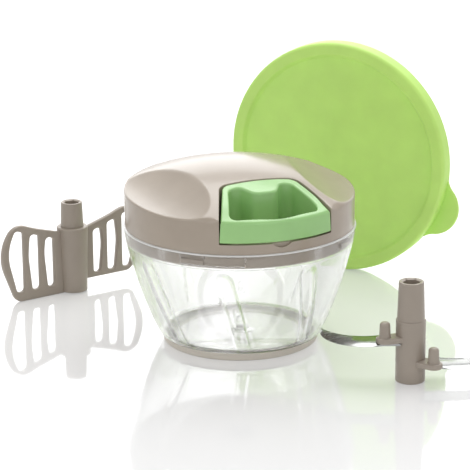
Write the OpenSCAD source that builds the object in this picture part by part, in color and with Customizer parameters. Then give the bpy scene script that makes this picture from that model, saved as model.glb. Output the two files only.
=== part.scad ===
// Pull-cord food chopper: a clear bowl under a domed lid that holds a sprung cord reel, with a pull
// handle, a blade insert, a mixing paddle and a storage lid set down beside the bowl.
// Millimetres. The origin is the middle of the foot on the table, Z is up and the handle faces -Y.

/* [Bowl] */
// Outer radius at the rim
rim_r = 60.3; // [50:0.1:75]
// Height of the rim above the table
rim_z = 62; // [50:0.5:80]
// Outer radius of the soft foot ring
foot_r = 40.4; // [30:0.1:50]
// Height of the foot ring's lip
foot_h = 4.6; // [3:0.1:8]
// Wall thickness, measured level
bowl_wall = 2.3; // [1.6:0.1:3.5]
// Top of the inside floor
floor_z = 4.6; // [3.5:0.1:8]
// Number of slanted flutes round the wall
flute_n = 8; // [4:1:12]
// Depth of a flute
flute_depth = 0.9; // [0.4:0.1:1.2]
// Radius of a flute's round section
flute_r = 11; // [6:0.5:20]
// Lean of a flute from upright, degrees
flute_lean = 13; // [0:1:25]
// Turn of the first flute's middle from the front, degrees
flute_turn = -25; // [-45:1:45]
// Radius of the centre pin
pin_r = 2.2; // [1.5:0.05:4]
// Height of the pin above its collar
pin_h = 7; // [4:0.5:12]

/* [Lid] */
// How far the lid's wall lies inside the rim
lid_in = 0.8; // [0:0.1:3]
// Top of the dome
lid_top_z = 93.5; // [85:0.1:120]
// Radius of the dome
dome_r = 153; // [100:1:200]
// How far the dome's top lies behind the lid's axis
dome_back = 5; // [0:0.5:8]
// Wall thickness of the cover
lid_wall = 2.2; // [1.5:0.1:3.5]
// Radius of a finger scoop's round section
scoop_r = 43.3; // [36:0.1:60]
// How far a scoop's middle lies inside the lid's wall
scoop_in = 2.6; // [0:0.1:6]
// Height of the bottom of a scoop
scoop_z = 79.7; // [76:0.1:84]
// Rise of a scoop towards the back, degrees
scoop_tilt = 2.9; // [0:0.1:5]
// Turn of a scoop's middle from the handle, degrees
scoop_turn = 83; // [78:1:95]
// Bottom of the skirt that plugs into the bowl
skirt_z = 54.6; // [50:0.2:60]
// How far the skirt lies inside the rim
skirt_in = 2.9; // [2.4:0.1:5]
// Number of bayonet lugs on the skirt
lug_n = 4; // [3:1:6]
// Width of a lug, degrees
lug_deg = 12; // [6:1:20]
// Turn that would lock the lid, degrees
lock_deg = 20; // [10:1:40]

/* [Pull handle] */
// Underside of the handle
handle_z = 67.8; // [64:0.1:72]
// Half width across the back
handle_back_w = 20.6; // [18:0.1:26]
// Half width across the front
handle_front_w = 31.5; // [28:0.5:36]
// Distance of the back from the lid's axis
handle_back = 24.5; // [24:0.5:28]
// Thickness of the back bar
handle_rear = 4.5; // [3:0.5:6]
// Thickness of the front bar
handle_front = 2.7; // [2:0.1:6]
// Gap between the handle and its pocket
handle_gap = 0.7; // [0.3:0.1:1]
// Radius of the post that holds the cord's knot
knot_post_r = 6.5; // [4:0.5:8]

/* [Cord and reel] */
// Thickness of the cord
cord_d = 1.6; // [1:0.1:3]
// Turns of cord on the reel
cord_turns = 4; // [2:0.5:6]
// Step from one turn to the next
cord_pitch = 2.3; // [1.8:0.1:4]
// Radius of the reel's drum
drum_r = 13.1; // [8:0.1:18]
// Radius of the reel's flanges
flange_r = 18; // [16:0.5:19]
// Underside of the reel
reel_z = 66.6; // [65:0.1:70]
// Length of the drum between the flanges
drum_len = 12.4; // [10:0.1:16]
// Turns of the flat return spring
spring_turns = 7; // [3:1:10]
// Thickness of the spring strip
spring_t = 0.5; // [0.3:0.1:1]
// Radius of the arbor inside the spring
arbor_r = 8; // [6:0.5:10]

/* [Inserts] */
// Height of an insert's hub
hub_h = 51.4; // [40:0.2:60]
// Radius of a hub's lower tube
hub_r = 7.4; // [6:0.1:10]
// Radius of a hub's upper tube at its top
hub_top_r = 6.2; // [5:0.1:8]
// Height of the blade hub's lower tube
blade_step_z = 32; // [20:0.5:40]
// Height of the paddle hub's lower tube
paddle_step_z = 37.5; // [20:0.5:45]
// Width across the flats of the drive dog
dog_flats = 7.4; // [5:0.1:9]
// Top of the lower blade's arm
low_arm_z = 12; // [8:0.5:16]
// Top of the upper blade's arm
high_arm_z = 24; // [18:0.5:30]
// Reach of a blade from the axis
blade_reach = 45; // [30:0.5:50]
// Width of a blade at its root
blade_w = 13; // [8:0.5:18]
// Thickness of a blade
blade_t = 1.2; // [0.8:0.1:2]
// Reach of a paddle wing at the table
wing_low = 37.4; // [34:0.2:40]
// Reach of a paddle wing at its outer corner
wing_high = 47.2; // [45:0.2:50]
// Height of a wing at its outer end
wing_h = 45.2; // [40:0.2:48]
// Thickness of a wing
wing_t = 3; // [2:0.2:5]

/* [Storage lid] */
// How far the storage lid reaches past the rim
cap_over = 5.7; // [3:0.1:10]
// Depth of its side wall
cap_depth = 10; // [6:0.5:16]
// Wall thickness
cap_wall = 1.6; // [1:0.1:2.5]
// Width of the raised border
cap_border = 7; // [4:0.5:12]
// Drop of the panel inside the border
cap_drop = 2.4; // [1:0.1:5]
// Reach of the pull tab beyond the edge
tab_out = 11; // [6:0.5:16]

/* [Places] */
// Blade insert's place, across
blade_x = 53.4; // [40:0.2:90]
// Blade insert's place, front to back
blade_y = -95; // [-130:0.5:-70]
// Turn of the blade insert, degrees
blade_turn = -20.7; // [-90:0.1:90]
// Paddle's place, across
paddle_x = -58.6; // [-100:0.2:-40]
// Paddle's place, front to back
paddle_y = 108; // [80:0.2:130]
// Turn of the paddle, degrees
paddle_turn = 14; // [-90:1:90]
// Storage lid's place, across
cap_x = 91.9; // [70:0.1:120]
// Storage lid's place, front to back
cap_y = 88.2; // [70:0.1:120]
// Direction that the storage lid's face looks in, degrees
cap_turn = 222; // [180:1:270]

/* [Hidden] */
$fn = 72;
eps = 0.01;
far = 200;
fit = 0.05;

taupe = [0.60, 0.55, 0.49];
clear = [0.90, 0.94, 0.94, 0.35];
green = [0.60, 0.76, 0.46];
lime = [0.72, 0.86, 0.45];
steel = [0.78, 0.79, 0.80];
white = [0.90, 0.90, 0.88];
grey = [0.35, 0.36, 0.37];

// Bowl
lid_r = rim_r - lid_in;
skirt_r = rim_r - skirt_in;
bowl_bottom = 2;
foot_lip = 2;
foot_band = 7.4;
foot_in = foot_r - foot_band;
foot_edge = 0.6;
bowl_steps = 14;
bowl_start = [foot_r + 1.6, foot_h];
bowl_pull_low = [foot_r + 7.1, foot_h + 8.4];
bowl_pull_high = [rim_r - 0.8, rim_z - 14];
seat_r = skirt_r + 0.4;
seat_z = skirt_z - 1;
floor_slope = [5.5, 3];
collar_r = 4.2;
collar_h = 0.8;
collar_top = floor_z + collar_h;
flute_low = [45.3, 10];
flute_high = [rim_r - 1.4, rim_z - 11];
flute_slope = atan2(flute_high[0] - flute_low[0], flute_high[1] - flute_low[1]);
flute_mid = (flute_low + flute_high) / 2;
flute_run = 17;
lug_turn = 45;
lug_out = 1.3;
lug_low = 56;
lug_h = 2.4;
lug_gap = 0.4;
lug_room = 1.5;

// Lid
dome_z = lid_top_z - dome_r;
lid_gap = 0.1;
cover_z = rim_z + lid_gap;
ledge_h = 2;
ledge_w = 6.5;
ledge_in = lid_r - ledge_w;
scoop_out = lid_r - scoop_in;
scoop_centre_z = scoop_z + scoop_r;
plate_t = 2.4;
plate_top = skirt_z + plate_t;
skirt_wall = 2;
well_r = hub_top_r + 1;
barrel_in = 18.4;
barrel_wall = 1.6;
barrel_top = 65;
pocket_wall = 2;
pocket_z = handle_z - handle_gap;
axle_r = 4;
axle_z = 75;
post_r = 3.4;
screw_r = 1.2;
screw_head_r = 2.6;
screw_head_h = 1.4;
screw_len = 7;
screw_room = 0.3;
head_room = 0.2;
screw_end = 1;
front_post = lid_r * [0.336, -0.706];
rear_post = lid_r * [0.538, 0.571];
posts = [front_post, [-front_post[0], front_post[1]], rear_post, [-rear_post[0], rear_post[1]]];
notch_r = 4.2;
notch_depth = 1.4;

// Handle
handle_corner = 5;
handle_top_in = 0.2;
open_corner = 4;
open_bow = 30;
open_back = handle_back + handle_rear;
open_front_in = 8;
open_front = lid_r - open_front_in;
open_front_w = 23.2;
open_back_w = 17;
open_nose = 1;
knot_y = -(handle_back + handle_rear + 1.5);
knot_r = 2.3;
knot_room = 0.2;
knot_cap = 0.3;
knot_bite = 0.5;
cut_past = 1;

// Cord
cord_r = cord_d / 2;
wrap_rings = 24;
wrap_r = drum_r / cos(180 / wrap_rings) + cord_r + fit;
flange_t = 1.2;
drum_z = reel_z + flange_t;
reel_top = drum_z + drum_len + flange_t;
wrap_z = drum_z + 1.4;
lead_z = wrap_z + cord_turns * cord_pitch;
eyelet_y = -(handle_back - handle_gap - pocket_wall);
eyelet_r = 2.4;
eyelet_flange_r = 3.8;
eyelet_flange_t = 1;
eyelet_room = 0.4;
lead_elbow_y = eyelet_y + eyelet_flange_t + eyelet_room;
tangent_turn = asin(wrap_r / -lead_elbow_y);
tangent_point = [wrap_r * cos(tangent_turn), -wrap_r * sin(tangent_turn)];
lead_skip = 0.5;
lead_steps = 4;
tail_gap = 0.3;
tail_sink = 0.2;
cord_sides = 6;

// Spring and shaft
spring_z = 59.7;
spring_h = 4.8;
spring_in = arbor_r + 0.6;
spring_steps = 24;
bush_r = 12;
bush_top = plate_top + 2;
collar_shaft_r = 6;
spring_cover_t = 1;
arbor_room = 0.5;
shaft_gap = 0.2;
dog_overlap = 0.1;
key_sink = 1;
washer_t = 0.4;
dog_low = skirt_z - 3.6;
dog_r = dog_flats / sqrt(3);
dog_room = 0.15;
key_flats = 8;
key_r = key_flats / sqrt(3);
key_top = reel_z + 5;
reel_bore_z = axle_z - 1;
drive_screw_r = 1.4;
drive_head_r = 2.4;
drive_head_h = 2;
drive_room = 0.2;
drive_overlap = 0.1;
drive_tip = 2;

// Inserts
hub_bore_r = pin_r + fit;
hub_bore_h = 10;
socket_h = 6.6;
hub_step = 0.5;
arm_t = 2.8;
arm_w = 9;
arm_end = 18;
peg_r = 2.7;
peg_h = 7.8;
peg_out = 13.6;
low_arm_turn = -38;
high_arm_turn = 197;
root_len = 14;
edge_centre = [blade_reach * 0.48, blade_w * 1.15];
edge_r = blade_reach * 0.5;
back_centre = [blade_reach * 0.5, blade_w * 2.28];
back_r = blade_reach * 0.52;
tube_r = 6.4;
tube_top_r = 5.9;
sleeve_low_r = 7.6;
sleeve_r = 8.7;
sleeve_low = 0.5;
wing_inner_h = 35.2;
wing_crown = 36.8;
wing_mid_z = 29;
wing_lift = 5.5;
wing_bite = 0.4;
wing_round = [5, 10, 6];
// Slots of a wing, as shares of its low reach: inner side, outer side at the base, widest, crown
wing_slots = [[0.342, 0.452, 0.5, 0.46], [0.588, 0.714, 0.762, 0.722], [0.85, 0.973, 1.128, 0.973]];
slot_round = [1.9, 1.9, 6, 2, 1.6];
slot_base = 5.5;
slot_follow = 0.5;
slot_cap = 4.4;

// Storage lid
cap_r = rim_r + cap_over;
cap_edge = 1;
cap_skew = 0.6;
grip_r = rim_r + 0.15;
grip_depth = 7;
tab_r = 16;
tab_t = 1.8;
tab_turn = 67;

// Node to draw, or all

// Point at share u along a cubic curve from a to d
function curve(a, b, c, d, u) =
    pow(1 - u, 3) * a + 3 * u * pow(1 - u, 2) * b + 3 * u * u * (1 - u) * c + pow(u, 3) * d;

// The bowl's outer outline, from the foot to the rim, moved inward by inset
function bowl_outline(inset) = [for (i = [0:bowl_steps])
    curve(bowl_start, bowl_pull_low, bowl_pull_high, [rim_r, rim_z], i / bowl_steps) - [inset, 0]];

// A polygon's points with every corner rounded to its own radius
function rounded(pts, radii, steps = 6) = [for (i = [0:len(pts) - 1])
    let (
        n = len(pts),
        p = pts[i],
        a = pts[(i + n - 1) % n] - p,
        b = pts[(i + 1) % n] - p,
        ua = a / norm(a),
        ub = b / norm(b),
        half = acos(ua * ub) / 2,
        mid = (ua + ub) / norm(ua + ub),
        centre = p + mid * radii[i] / sin(half),
        from = p + ua * radii[i] / tan(half) - centre,
        to = p + ub * radii[i] / tan(half) - centre,
        start = atan2(from[1], from[0]),
        turn = ((atan2(to[1], to[0]) - start + 540) % 360) - 180
    )
    for (k = [0:steps]) centre + radii[i] * [cos(start + turn * k / steps), sin(start + turn * k / steps)]];

// A sector of a ring about Z, centred on the front and turned by turn
module sector(inner, outer, z, height, turn, width) {
    rotate([0, 0, turn - 90 - width / 2])
        rotate_extrude(angle = width)
            translate([inner, z])
                square([outer - inner, height]);
}

// A hexagonal bar standing on z
module hexagon(radius, z, height) {
    translate([0, 0, z])
        linear_extrude(height)
            polygon([for (i = [0:5]) radius * [cos(60 * i), sin(60 * i)]]);
}

module flutes() {
    offset_out = flute_r - flute_depth;
    for (i = [0:flute_n - 1])
        rotate([0, 0, flute_turn + i * 360 / flute_n])
            translate([0, -flute_mid[0], flute_mid[1]])
                rotate([flute_slope, 0, 0])
                    rotate([0, -flute_lean, 0])
                        translate([0, -offset_out, 0]) {
                            translate([0, 0, -2 * flute_run])
                                cylinder(r = flute_r, h = 3 * flute_run);
                            translate([0, 0, flute_run])
                                sphere(r = flute_r);
                        }
}

module bowl() {
    inner = [for (p = bowl_outline(bowl_wall)) if (p[1] > floor_z + floor_slope[1]) p];
    color(clear)
        difference() {
            rotate_extrude()
                polygon(concat([[0, bowl_bottom], [foot_r - foot_lip, bowl_bottom]],
                    [[foot_r - foot_lip, foot_h]], bowl_outline(0), [[0, rim_z]]));
            difference() {
                rotate_extrude()
                    polygon(concat([[0, floor_z], [inner[0][0] - floor_slope[0], floor_z]], inner,
                        [[rim_r - bowl_wall, far], [0, far]]));
                cylinder(r = collar_r, h = collar_top);
                cylinder(r = pin_r, h = collar_top + pin_h - pin_r / 2);
            }
            translate([0, 0, seat_z])
                cylinder(r = seat_r, h = far);
            for (i = [0:lug_n - 1]) {
                turn = i * 360 / lug_n + lug_turn;
                out = skirt_r + lug_out + lug_gap;
                low = lug_low - lug_gap;
                sector(skirt_r, out, low, far, turn, lug_deg + lug_room);
                sector(skirt_r, out, low, lug_h + 2 * lug_gap, turn + lock_deg / 2,
                    lug_deg + lug_room + lock_deg);
            }
            flutes();
        }
}

module foot_ring() {
    color(taupe)
        rotate_extrude()
            polygon([[foot_in, 0], [foot_r - foot_edge, 0], [foot_r, foot_edge], [foot_r, foot_h - fit],
                [foot_r - foot_lip + fit, foot_h - fit], [foot_r - foot_lip + fit, bowl_bottom],
                [foot_in, bowl_bottom]]);
}

// Both finger scoops, which rise a little towards the back
module scoop(grow) {
    for (side = [-1, 1])
        rotate([0, 0, side * scoop_turn - 90])
            translate([scoop_out, 0, scoop_centre_z])
                rotate([90 + side * scoop_tilt, 0, 0])
                    cylinder(r = scoop_r + grow, h = 3 * lid_r, center = true);
}

module dome(inset) {
    intersection() {
        cylinder(r = lid_r - inset, h = far);
        translate([0, dome_back, dome_z])
            sphere(r = dome_r - inset);
    }
}

// The handle's plan, grown all round, as far out as the lid's wall and a little beyond
module handle_plan(grow) {
    front = -lid_r - grow - eps;
    back = grow - handle_back;
    front_w = handle_front_w + grow;
    back_w = handle_back_w + grow;
    corner = handle_corner + grow;
    polygon(rounded([[-back_w, back], [back_w, back], [front_w, front], [-front_w, front]],
        [corner, corner, eps, eps]));
}

module lid_cover() {
    color(taupe)
        difference() {
            union() {
                difference() {
                    dome(0);
                    difference() {
                        dome(lid_wall);
                        scoop(lid_wall);
                    }
                    cylinder(r = far, h = cover_z);
                }
                intersection() {
                    dome(0);
                    union() {
                        translate([0, 0, cover_z])
                            difference() {
                                cylinder(r = lid_r, h = ledge_h);
                                cylinder(r = ledge_in, h = ledge_h);
                            }
                        translate([0, 0, pocket_z - pocket_wall])
                            linear_extrude(far)
                                handle_plan(handle_gap + pocket_wall);
                        translate([0, 0, axle_z])
                            cylinder(r = axle_r, h = far);
                        for (p = posts)
                            translate([p[0], p[1], plate_top])
                                cylinder(r = post_r, h = far);
                    }
                }
            }
            scoop(0);
            translate([0, 0, pocket_z])
                linear_extrude(far)
                    handle_plan(handle_gap);
            translate([0, eyelet_y, lead_z])
                rotate([90, 0, 0])
                    cylinder(r = eyelet_r + fit, h = 2 * pocket_wall, center = true);
            translate([0, -lid_r, pocket_z])
                rotate([90, 0, 0])
                    cylinder(r = notch_r, h = 2 * notch_depth, center = true);
            for (p = posts)
                translate([p[0], p[1], 0])
                    cylinder(r = screw_r + fit, h = plate_top + screw_len);
        }
}

module lid_base() {
    color(taupe)
        difference() {
            union() {
                translate([0, 0, skirt_z])
                    difference() {
                        cylinder(r = skirt_r, h = cover_z - skirt_z);
                        translate([0, 0, plate_t])
                            cylinder(r = skirt_r - skirt_wall, h = far);
                    }
                translate([0, 0, plate_top - eps])
                    difference() {
                        cylinder(r = barrel_in + barrel_wall, h = barrel_top - plate_top + eps);
                        cylinder(r = barrel_in, h = far);
                    }
                for (i = [0:lug_n - 1])
                    sector(skirt_r - eps, skirt_r + lug_out, lug_low, lug_h,
                        i * 360 / lug_n + lug_turn, lug_deg);
            }
            cylinder(r = well_r, h = far);
            for (p = posts)
                translate([p[0], p[1], 0]) {
                    cylinder(r = screw_r + screw_room, h = far);
                    cylinder(r = screw_head_r + head_room, h = skirt_z + screw_head_h);
                }
        }
}

module lid_screws() {
    color(steel)
        for (p = posts)
            translate([p[0], p[1], skirt_z]) {
                difference() {
                    cylinder(r = screw_head_r, h = screw_head_h);
                    cylinder(r = screw_r, h = screw_head_h / 2, $fn = 16);
                }
                translate([0, 0, screw_head_h - eps])
                    cylinder(r = screw_r, h = plate_t + screw_len - screw_head_h - screw_end);
            }
}

module shaft_bush() {
    color(white)
        translate([0, 0, plate_top])
            difference() {
                cylinder(r = bush_r, h = bush_top - plate_top);
                cylinder(r = collar_shaft_r + fit, h = far, center = true);
            }
}

module return_spring() {
    grow = (barrel_in - fit - spring_t - spring_in) / spring_turns;
    count = spring_turns * spring_steps;
    function at(i, out) = let (
            turn = 360 * i / spring_steps,
            r = spring_in + grow * i / spring_steps + out
        )
        r * [cos(turn), sin(turn)];
    color(steel)
        translate([0, 0, spring_z])
            linear_extrude(spring_h)
                polygon(concat([for (i = [0:count]) at(i, 0)], [for (i = [count:-1:0]) at(i, spring_t)]));
}

module spring_cover() {
    color(white)
        translate([0, 0, barrel_top])
            difference() {
                cylinder(r = barrel_in + barrel_wall, h = spring_cover_t);
                cylinder(r = arbor_r + arbor_room, h = far, center = true);
            }
}

module cord_eyelet() {
    color(steel)
        translate([0, eyelet_y, lead_z])
            rotate([90, 0, 0])
                difference() {
                    union() {
                        cylinder(r = eyelet_r, h = pocket_wall);
                        translate([0, 0, -eyelet_flange_t])
                            cylinder(r = eyelet_flange_r, h = eyelet_flange_t);
                    }
                    cylinder(r = cord_r + fit, h = far, center = true);
                }
}

module cord_lead() {
    elbow = [0, lead_elbow_y, lead_z];
    from = [tangent_point[0], tangent_point[1], lead_z];
    out = [0, eyelet_y - pocket_wall, lead_z];
    inner = elbow + (from - elbow) / norm(from - elbow);
    outer = elbow + (out - elbow) / norm(out - elbow);
    color(white)
        cord(concat([from + (elbow - from) * lead_skip],
            [for (i = [0:lead_steps])
                curve(inner, (inner + elbow) / 2, (outer + elbow) / 2, outer, i / lead_steps)], [out]));
}

module cord_reel() {
    color(white)
        difference() {
            union() {
                translate([0, 0, reel_z])
                    cylinder(r = flange_r, h = flange_t);
                translate([0, 0, reel_z])
                    cylinder(r = drum_r, h = reel_top - reel_z);
                translate([0, 0, reel_top - flange_t])
                    cylinder(r = flange_r, h = flange_t);
            }
            hexagon(key_r + fit, 0, key_top + fit);
            translate([0, 0, reel_bore_z])
                cylinder(r = axle_r + fit, h = far);
            cylinder(r = drive_screw_r + fit, h = reel_bore_z - key_sink);
        }
}

// A cord of six sides along a path that stays nearly level
module cord(path) {
    last = len(path) - 1;
    ring = [for (i = [0:last])
        let (
            way = path[min(i + 1, last)] - path[max(i - 1, 0)],
            side = [way[1], -way[0], 0] / norm([way[0], way[1]])
        )
        for (k = [0:cord_sides - 1]) let (a = 360 * k / cord_sides)
            path[i] + cord_r * (cos(a) * side + sin(a) * [0, 0, 1])];
    sides = [for (i = [0:last - 1]) for (k = [0:cord_sides - 1])
        let (a = i * cord_sides + k, b = i * cord_sides + (k + 1) % cord_sides)
            [a, b, b + cord_sides, a + cord_sides]];
    ends = [[for (k = [cord_sides - 1:-1:0]) k], [for (k = [0:cord_sides - 1]) last * cord_sides + k]];
    polyhedron(points = ring, faces = concat(sides, ends));
}

// Middle of the cord at step i of its winding, which ends where the lead leaves the drum
function wrap_point(i) = let (turn = -tangent_turn + 360 * (cord_turns - i / wrap_rings))
    [wrap_r * cos(turn), wrap_r * sin(turn), wrap_z + cord_pitch * i / wrap_rings];

module cord_winding() {
    count = cord_turns * wrap_rings;
    path = [for (i = [0:count]) wrap_point(i)];
    half = wrap_rings / 2;
    gaps = [for (i = [0:count - half]) for (j = [i + half:count]) norm(path[i] - path[j]) - cord_d];
    echo(least_gap_of_winding = min(gaps));
    color(white)
        cord(path);
}

module drive_shaft() {
    color(grey)
        difference() {
            union() {
                hexagon(dog_r, dog_low, plate_top + shaft_gap + dog_overlap - dog_low);
                translate([0, 0, plate_top + shaft_gap])
                    cylinder(r = collar_shaft_r, h = bush_top - plate_top);
                translate([0, 0, bush_top + washer_t])
                    cylinder(r = arbor_r, h = reel_z - bush_top - washer_t);
                translate([0, 0, plate_top + shaft_gap])
                    cylinder(r = collar_shaft_r, h = reel_z - plate_top - key_sink);
                hexagon(key_r, reel_z - key_sink, key_top - reel_z + key_sink);
            }
            cylinder(r = drive_screw_r + drive_room, h = far);
            cylinder(r = drive_head_r + drive_room, h = dog_low + drive_head_h);
        }
}

module drive_screw() {
    color(steel)
        union() {
            translate([0, 0, dog_low + drive_room])
                cylinder(r = drive_head_r, h = drive_head_h - drive_room);
            translate([0, 0, dog_low + drive_room + drive_overlap])
                cylinder(r = drive_screw_r, h = reel_bore_z - drive_tip - dog_low);
        }
}

module reel_washer() {
    color(steel)
        translate([0, 0, bush_top])
            difference() {
                cylinder(r = arbor_r, h = washer_t);
                cylinder(r = collar_shaft_r + fit, h = far, center = true);
            }
}

module pull_handle() {
    color(green)
        difference() {
            intersection() {
                dome(handle_top_in);
                translate([0, 0, handle_z])
                    linear_extrude(far)
                        handle_plan(0);
            }
            difference() {
                translate([0, 0, handle_z - cut_past])
                    linear_extrude(far)
                        polygon(rounded([[-open_back_w, -open_back], [open_back_w, -open_back],
                            [open_front_w, -open_front], [0, handle_front - lid_r - open_nose],
                            [-open_front_w, -open_front]],
                            [open_corner, open_corner, open_corner, open_bow, open_corner]));
                translate([0, knot_y, 0])
                    cylinder(r = knot_post_r, h = far);
            }
            translate([0, 0, lead_z])
                rotate([90, 0, 0])
                    cylinder(r = cord_r + fit, h = -knot_y);
            translate([0, knot_y, 0])
                cylinder(r = knot_r + knot_room, h = lead_z + knot_r + knot_cap);
        }
}

module cord_tail() {
    tail_start = eyelet_y - pocket_wall - tail_gap;
    color(white)
        translate([0, tail_start, lead_z])
            rotate([90, 0, 0])
                cylinder(r = cord_r, h = tail_start - knot_y - knot_r + tail_sink);
}

module cord_knot() {
    color(white)
        difference() {
            translate([0, knot_y, lead_z])
                sphere(r = knot_r);
            translate([0, 0, lead_z])
                rotate([90, 0, 0])
                    cylinder(r = cord_r, h = -knot_y - knot_r + knot_bite);
        }
}

// The pin bore and the drive socket of a hub
module hub_bores() {
    translate([0, 0, -eps])
        cylinder(r = hub_bore_r, h = hub_bore_h);
    hexagon(dog_r + dog_room, hub_h - socket_h, far);
}

module arm(top_z, turn) {
    rotate([0, 0, turn]) {
        translate([0, 0, top_z - arm_t])
            linear_extrude(arm_t) {
                translate([0, -arm_w / 2])
                    square([arm_end - arm_w / 2, arm_w]);
                translate([arm_end - arm_w / 2, 0])
                    circle(d = arm_w);
            }
        translate([peg_out, 0, top_z - eps])
            cylinder(r = peg_r, h = peg_h - peg_r);
        translate([peg_out, 0, top_z + peg_h - peg_r])
            sphere(r = peg_r);
    }
}

// A curved blade towards +X, wide at the hub, whose far end sweeps towards +Y
module blade(top_z) {
    translate([0, 0, top_z - blade_t])
        linear_extrude(blade_t)
            difference() {
                union() {
                    intersection() {
                        difference() {
                            translate(edge_centre)
                                circle(r = edge_r);
                            translate(back_centre)
                                circle(r = back_r);
                        }
                        translate([root_len, -far / 2])
                            square([blade_reach, far]);
                    }
                    translate([0, -blade_w / 2])
                        square([root_len + eps, blade_w]);
                }
                circle(r = hub_r);
            }
}

module blade_hub() {
    color(taupe)
        translate([blade_x, blade_y, 0])
            rotate([0, 0, blade_turn])
                difference() {
                    union() {
                        cylinder(r = hub_r, h = blade_step_z);
                        translate([0, 0, blade_step_z - eps])
                            cylinder(r1 = hub_r - hub_step, r2 = hub_top_r, h = hub_h - blade_step_z + eps);
                        arm(low_arm_z, low_arm_turn);
                        arm(high_arm_z, high_arm_turn);
                    }
                    hub_bores();
                }
}

module upper_blade() {
    color(steel)
        translate([blade_x, blade_y, 0])
            rotate([0, 0, blade_turn])
                mirror([1, 0, 0])
                    blade(high_arm_z - arm_t);
}

module lower_blade() {
    color(steel)
        translate([blade_x, blade_y, 0])
            rotate([0, 0, blade_turn])
                blade(low_arm_z - arm_t);
}

module paddle_hub() {
    color(taupe)
        translate([paddle_x, paddle_y, 0])
            difference() {
                union() {
                    cylinder(r = tube_r, h = paddle_step_z);
                    translate([0, 0, paddle_step_z - eps])
                        cylinder(r1 = tube_r, r2 = tube_top_r, h = hub_h - paddle_step_z + eps);
                }
                hub_bores();
            }
}

// Height of a wing's top edge over its reach
function wing_top(x) = let (root = tube_r + wing_bite)
    wing_inner_h + (wing_h - wing_inner_h) * (x - root) / (wing_crown - root);

// One wing, standing on low and reaching out along +X, with upright slots
module wing(low) {
    root = tube_r + wing_bite;
    base = slot_base + low * slot_follow;
    rotate([90, 0, 0])
        translate([0, 0, -wing_t / 2])
            linear_extrude(wing_t)
                difference() {
                    polygon(rounded([[root, low], [wing_low, low], [wing_high, wing_mid_z],
                        [wing_crown, wing_h], [root, wing_inner_h]],
                        [eps, wing_round[0], wing_round[1], wing_round[2], eps]));
                    for (slot = wing_slots * wing_low)
                        polygon(rounded([[slot[0], base], [slot[1], base], [slot[2], wing_mid_z],
                            [slot[3], wing_top(slot[3]) - slot_cap], [slot[0], wing_top(slot[0]) - slot_cap]],
                            slot_round));
                }
}

module paddle_wings() {
    color(taupe)
        translate([paddle_x, paddle_y, 0])
            rotate([0, 0, paddle_turn])
                difference() {
                    union() {
                        translate([0, 0, sleeve_low])
                            cylinder(r1 = sleeve_low_r, r2 = sleeve_r, h = paddle_step_z - sleeve_low);
                        wing(wing_lift);
                        rotate([0, 0, 180])
                            wing(0);
                    }
                    cylinder(r = tube_r, h = far, center = true);
                }
}

module storage_lid() {
    panel_r = cap_r - cap_border;
    inside_r = cap_r - cap_wall;
    grip_out = grip_r + cap_wall;
    color(lime)
        translate([cap_x, cap_y, cap_r])
            rotate([0, 0, cap_turn])
                rotate([0, 90, 0])
                    union() {
                        rotate_extrude()
                            polygon([[0, -cap_drop], [panel_r - cap_edge, -cap_drop], [panel_r, 0],
                                [cap_r - cap_edge, 0], [cap_r, -cap_edge], [cap_r, -cap_depth],
                                [inside_r, -cap_depth], [inside_r, -cap_wall], [grip_out, -cap_wall],
                                [grip_out, -grip_depth], [grip_r, -grip_depth],
                                [grip_r, -cap_wall],
                                [panel_r + cap_skew, -cap_wall],
                                [panel_r + cap_skew - cap_edge, -cap_drop - cap_wall],
                                [0, -cap_drop - cap_wall]]);
                        rotate([0, 0, tab_turn])
                            translate([0, 0, tab_t / 2 - cap_depth])
                                difference() {
                                    translate([cap_r + tab_out - tab_r, 0, 0])
                                        cylinder(r = tab_r, h = tab_t);
                                    translate([0, 0, -eps])
                                        cylinder(r = cap_r - cap_wall / 2, h = tab_t + 2 * eps);
                                }
                    }
}

bowl();
foot_ring();
lid_cover();
lid_base();
lid_screws();
shaft_bush();
return_spring();
spring_cover();
cord_eyelet();
cord_lead();
cord_reel();
cord_winding();
drive_shaft();
drive_screw();
reel_washer();
pull_handle();
cord_tail();
cord_knot();
blade_hub();
upper_blade();
lower_blade();
paddle_hub();
paddle_wings();
storage_lid();
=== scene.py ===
"""Pull-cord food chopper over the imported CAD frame: refined pieces, finishes, light and camera.

Sizes of the object are millimetres in the frame's axes (handle towards -Y, table at Z = 0), and
its meshes are made in metres. The floor, the lamps and the camera are in metres.
"""
import math

import bmesh
import bpy
import numpy as np
from mathutils import Matrix, Vector
from mathutils.geometry import delaunay_2d_cdt


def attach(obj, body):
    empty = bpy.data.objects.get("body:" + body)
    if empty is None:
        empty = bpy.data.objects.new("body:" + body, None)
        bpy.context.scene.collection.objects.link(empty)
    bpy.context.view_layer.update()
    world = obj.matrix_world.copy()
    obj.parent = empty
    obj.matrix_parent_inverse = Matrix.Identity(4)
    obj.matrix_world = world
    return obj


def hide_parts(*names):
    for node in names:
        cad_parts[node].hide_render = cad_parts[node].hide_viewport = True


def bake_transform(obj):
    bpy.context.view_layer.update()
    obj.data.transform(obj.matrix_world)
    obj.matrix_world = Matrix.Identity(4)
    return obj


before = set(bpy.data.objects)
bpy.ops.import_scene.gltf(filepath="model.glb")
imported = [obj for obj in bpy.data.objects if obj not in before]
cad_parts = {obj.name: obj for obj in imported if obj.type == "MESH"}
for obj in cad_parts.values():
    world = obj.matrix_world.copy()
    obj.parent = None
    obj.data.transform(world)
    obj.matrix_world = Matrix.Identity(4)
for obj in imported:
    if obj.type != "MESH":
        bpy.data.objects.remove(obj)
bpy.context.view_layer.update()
scene = bpy.context.scene
MM = 0.001

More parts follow.
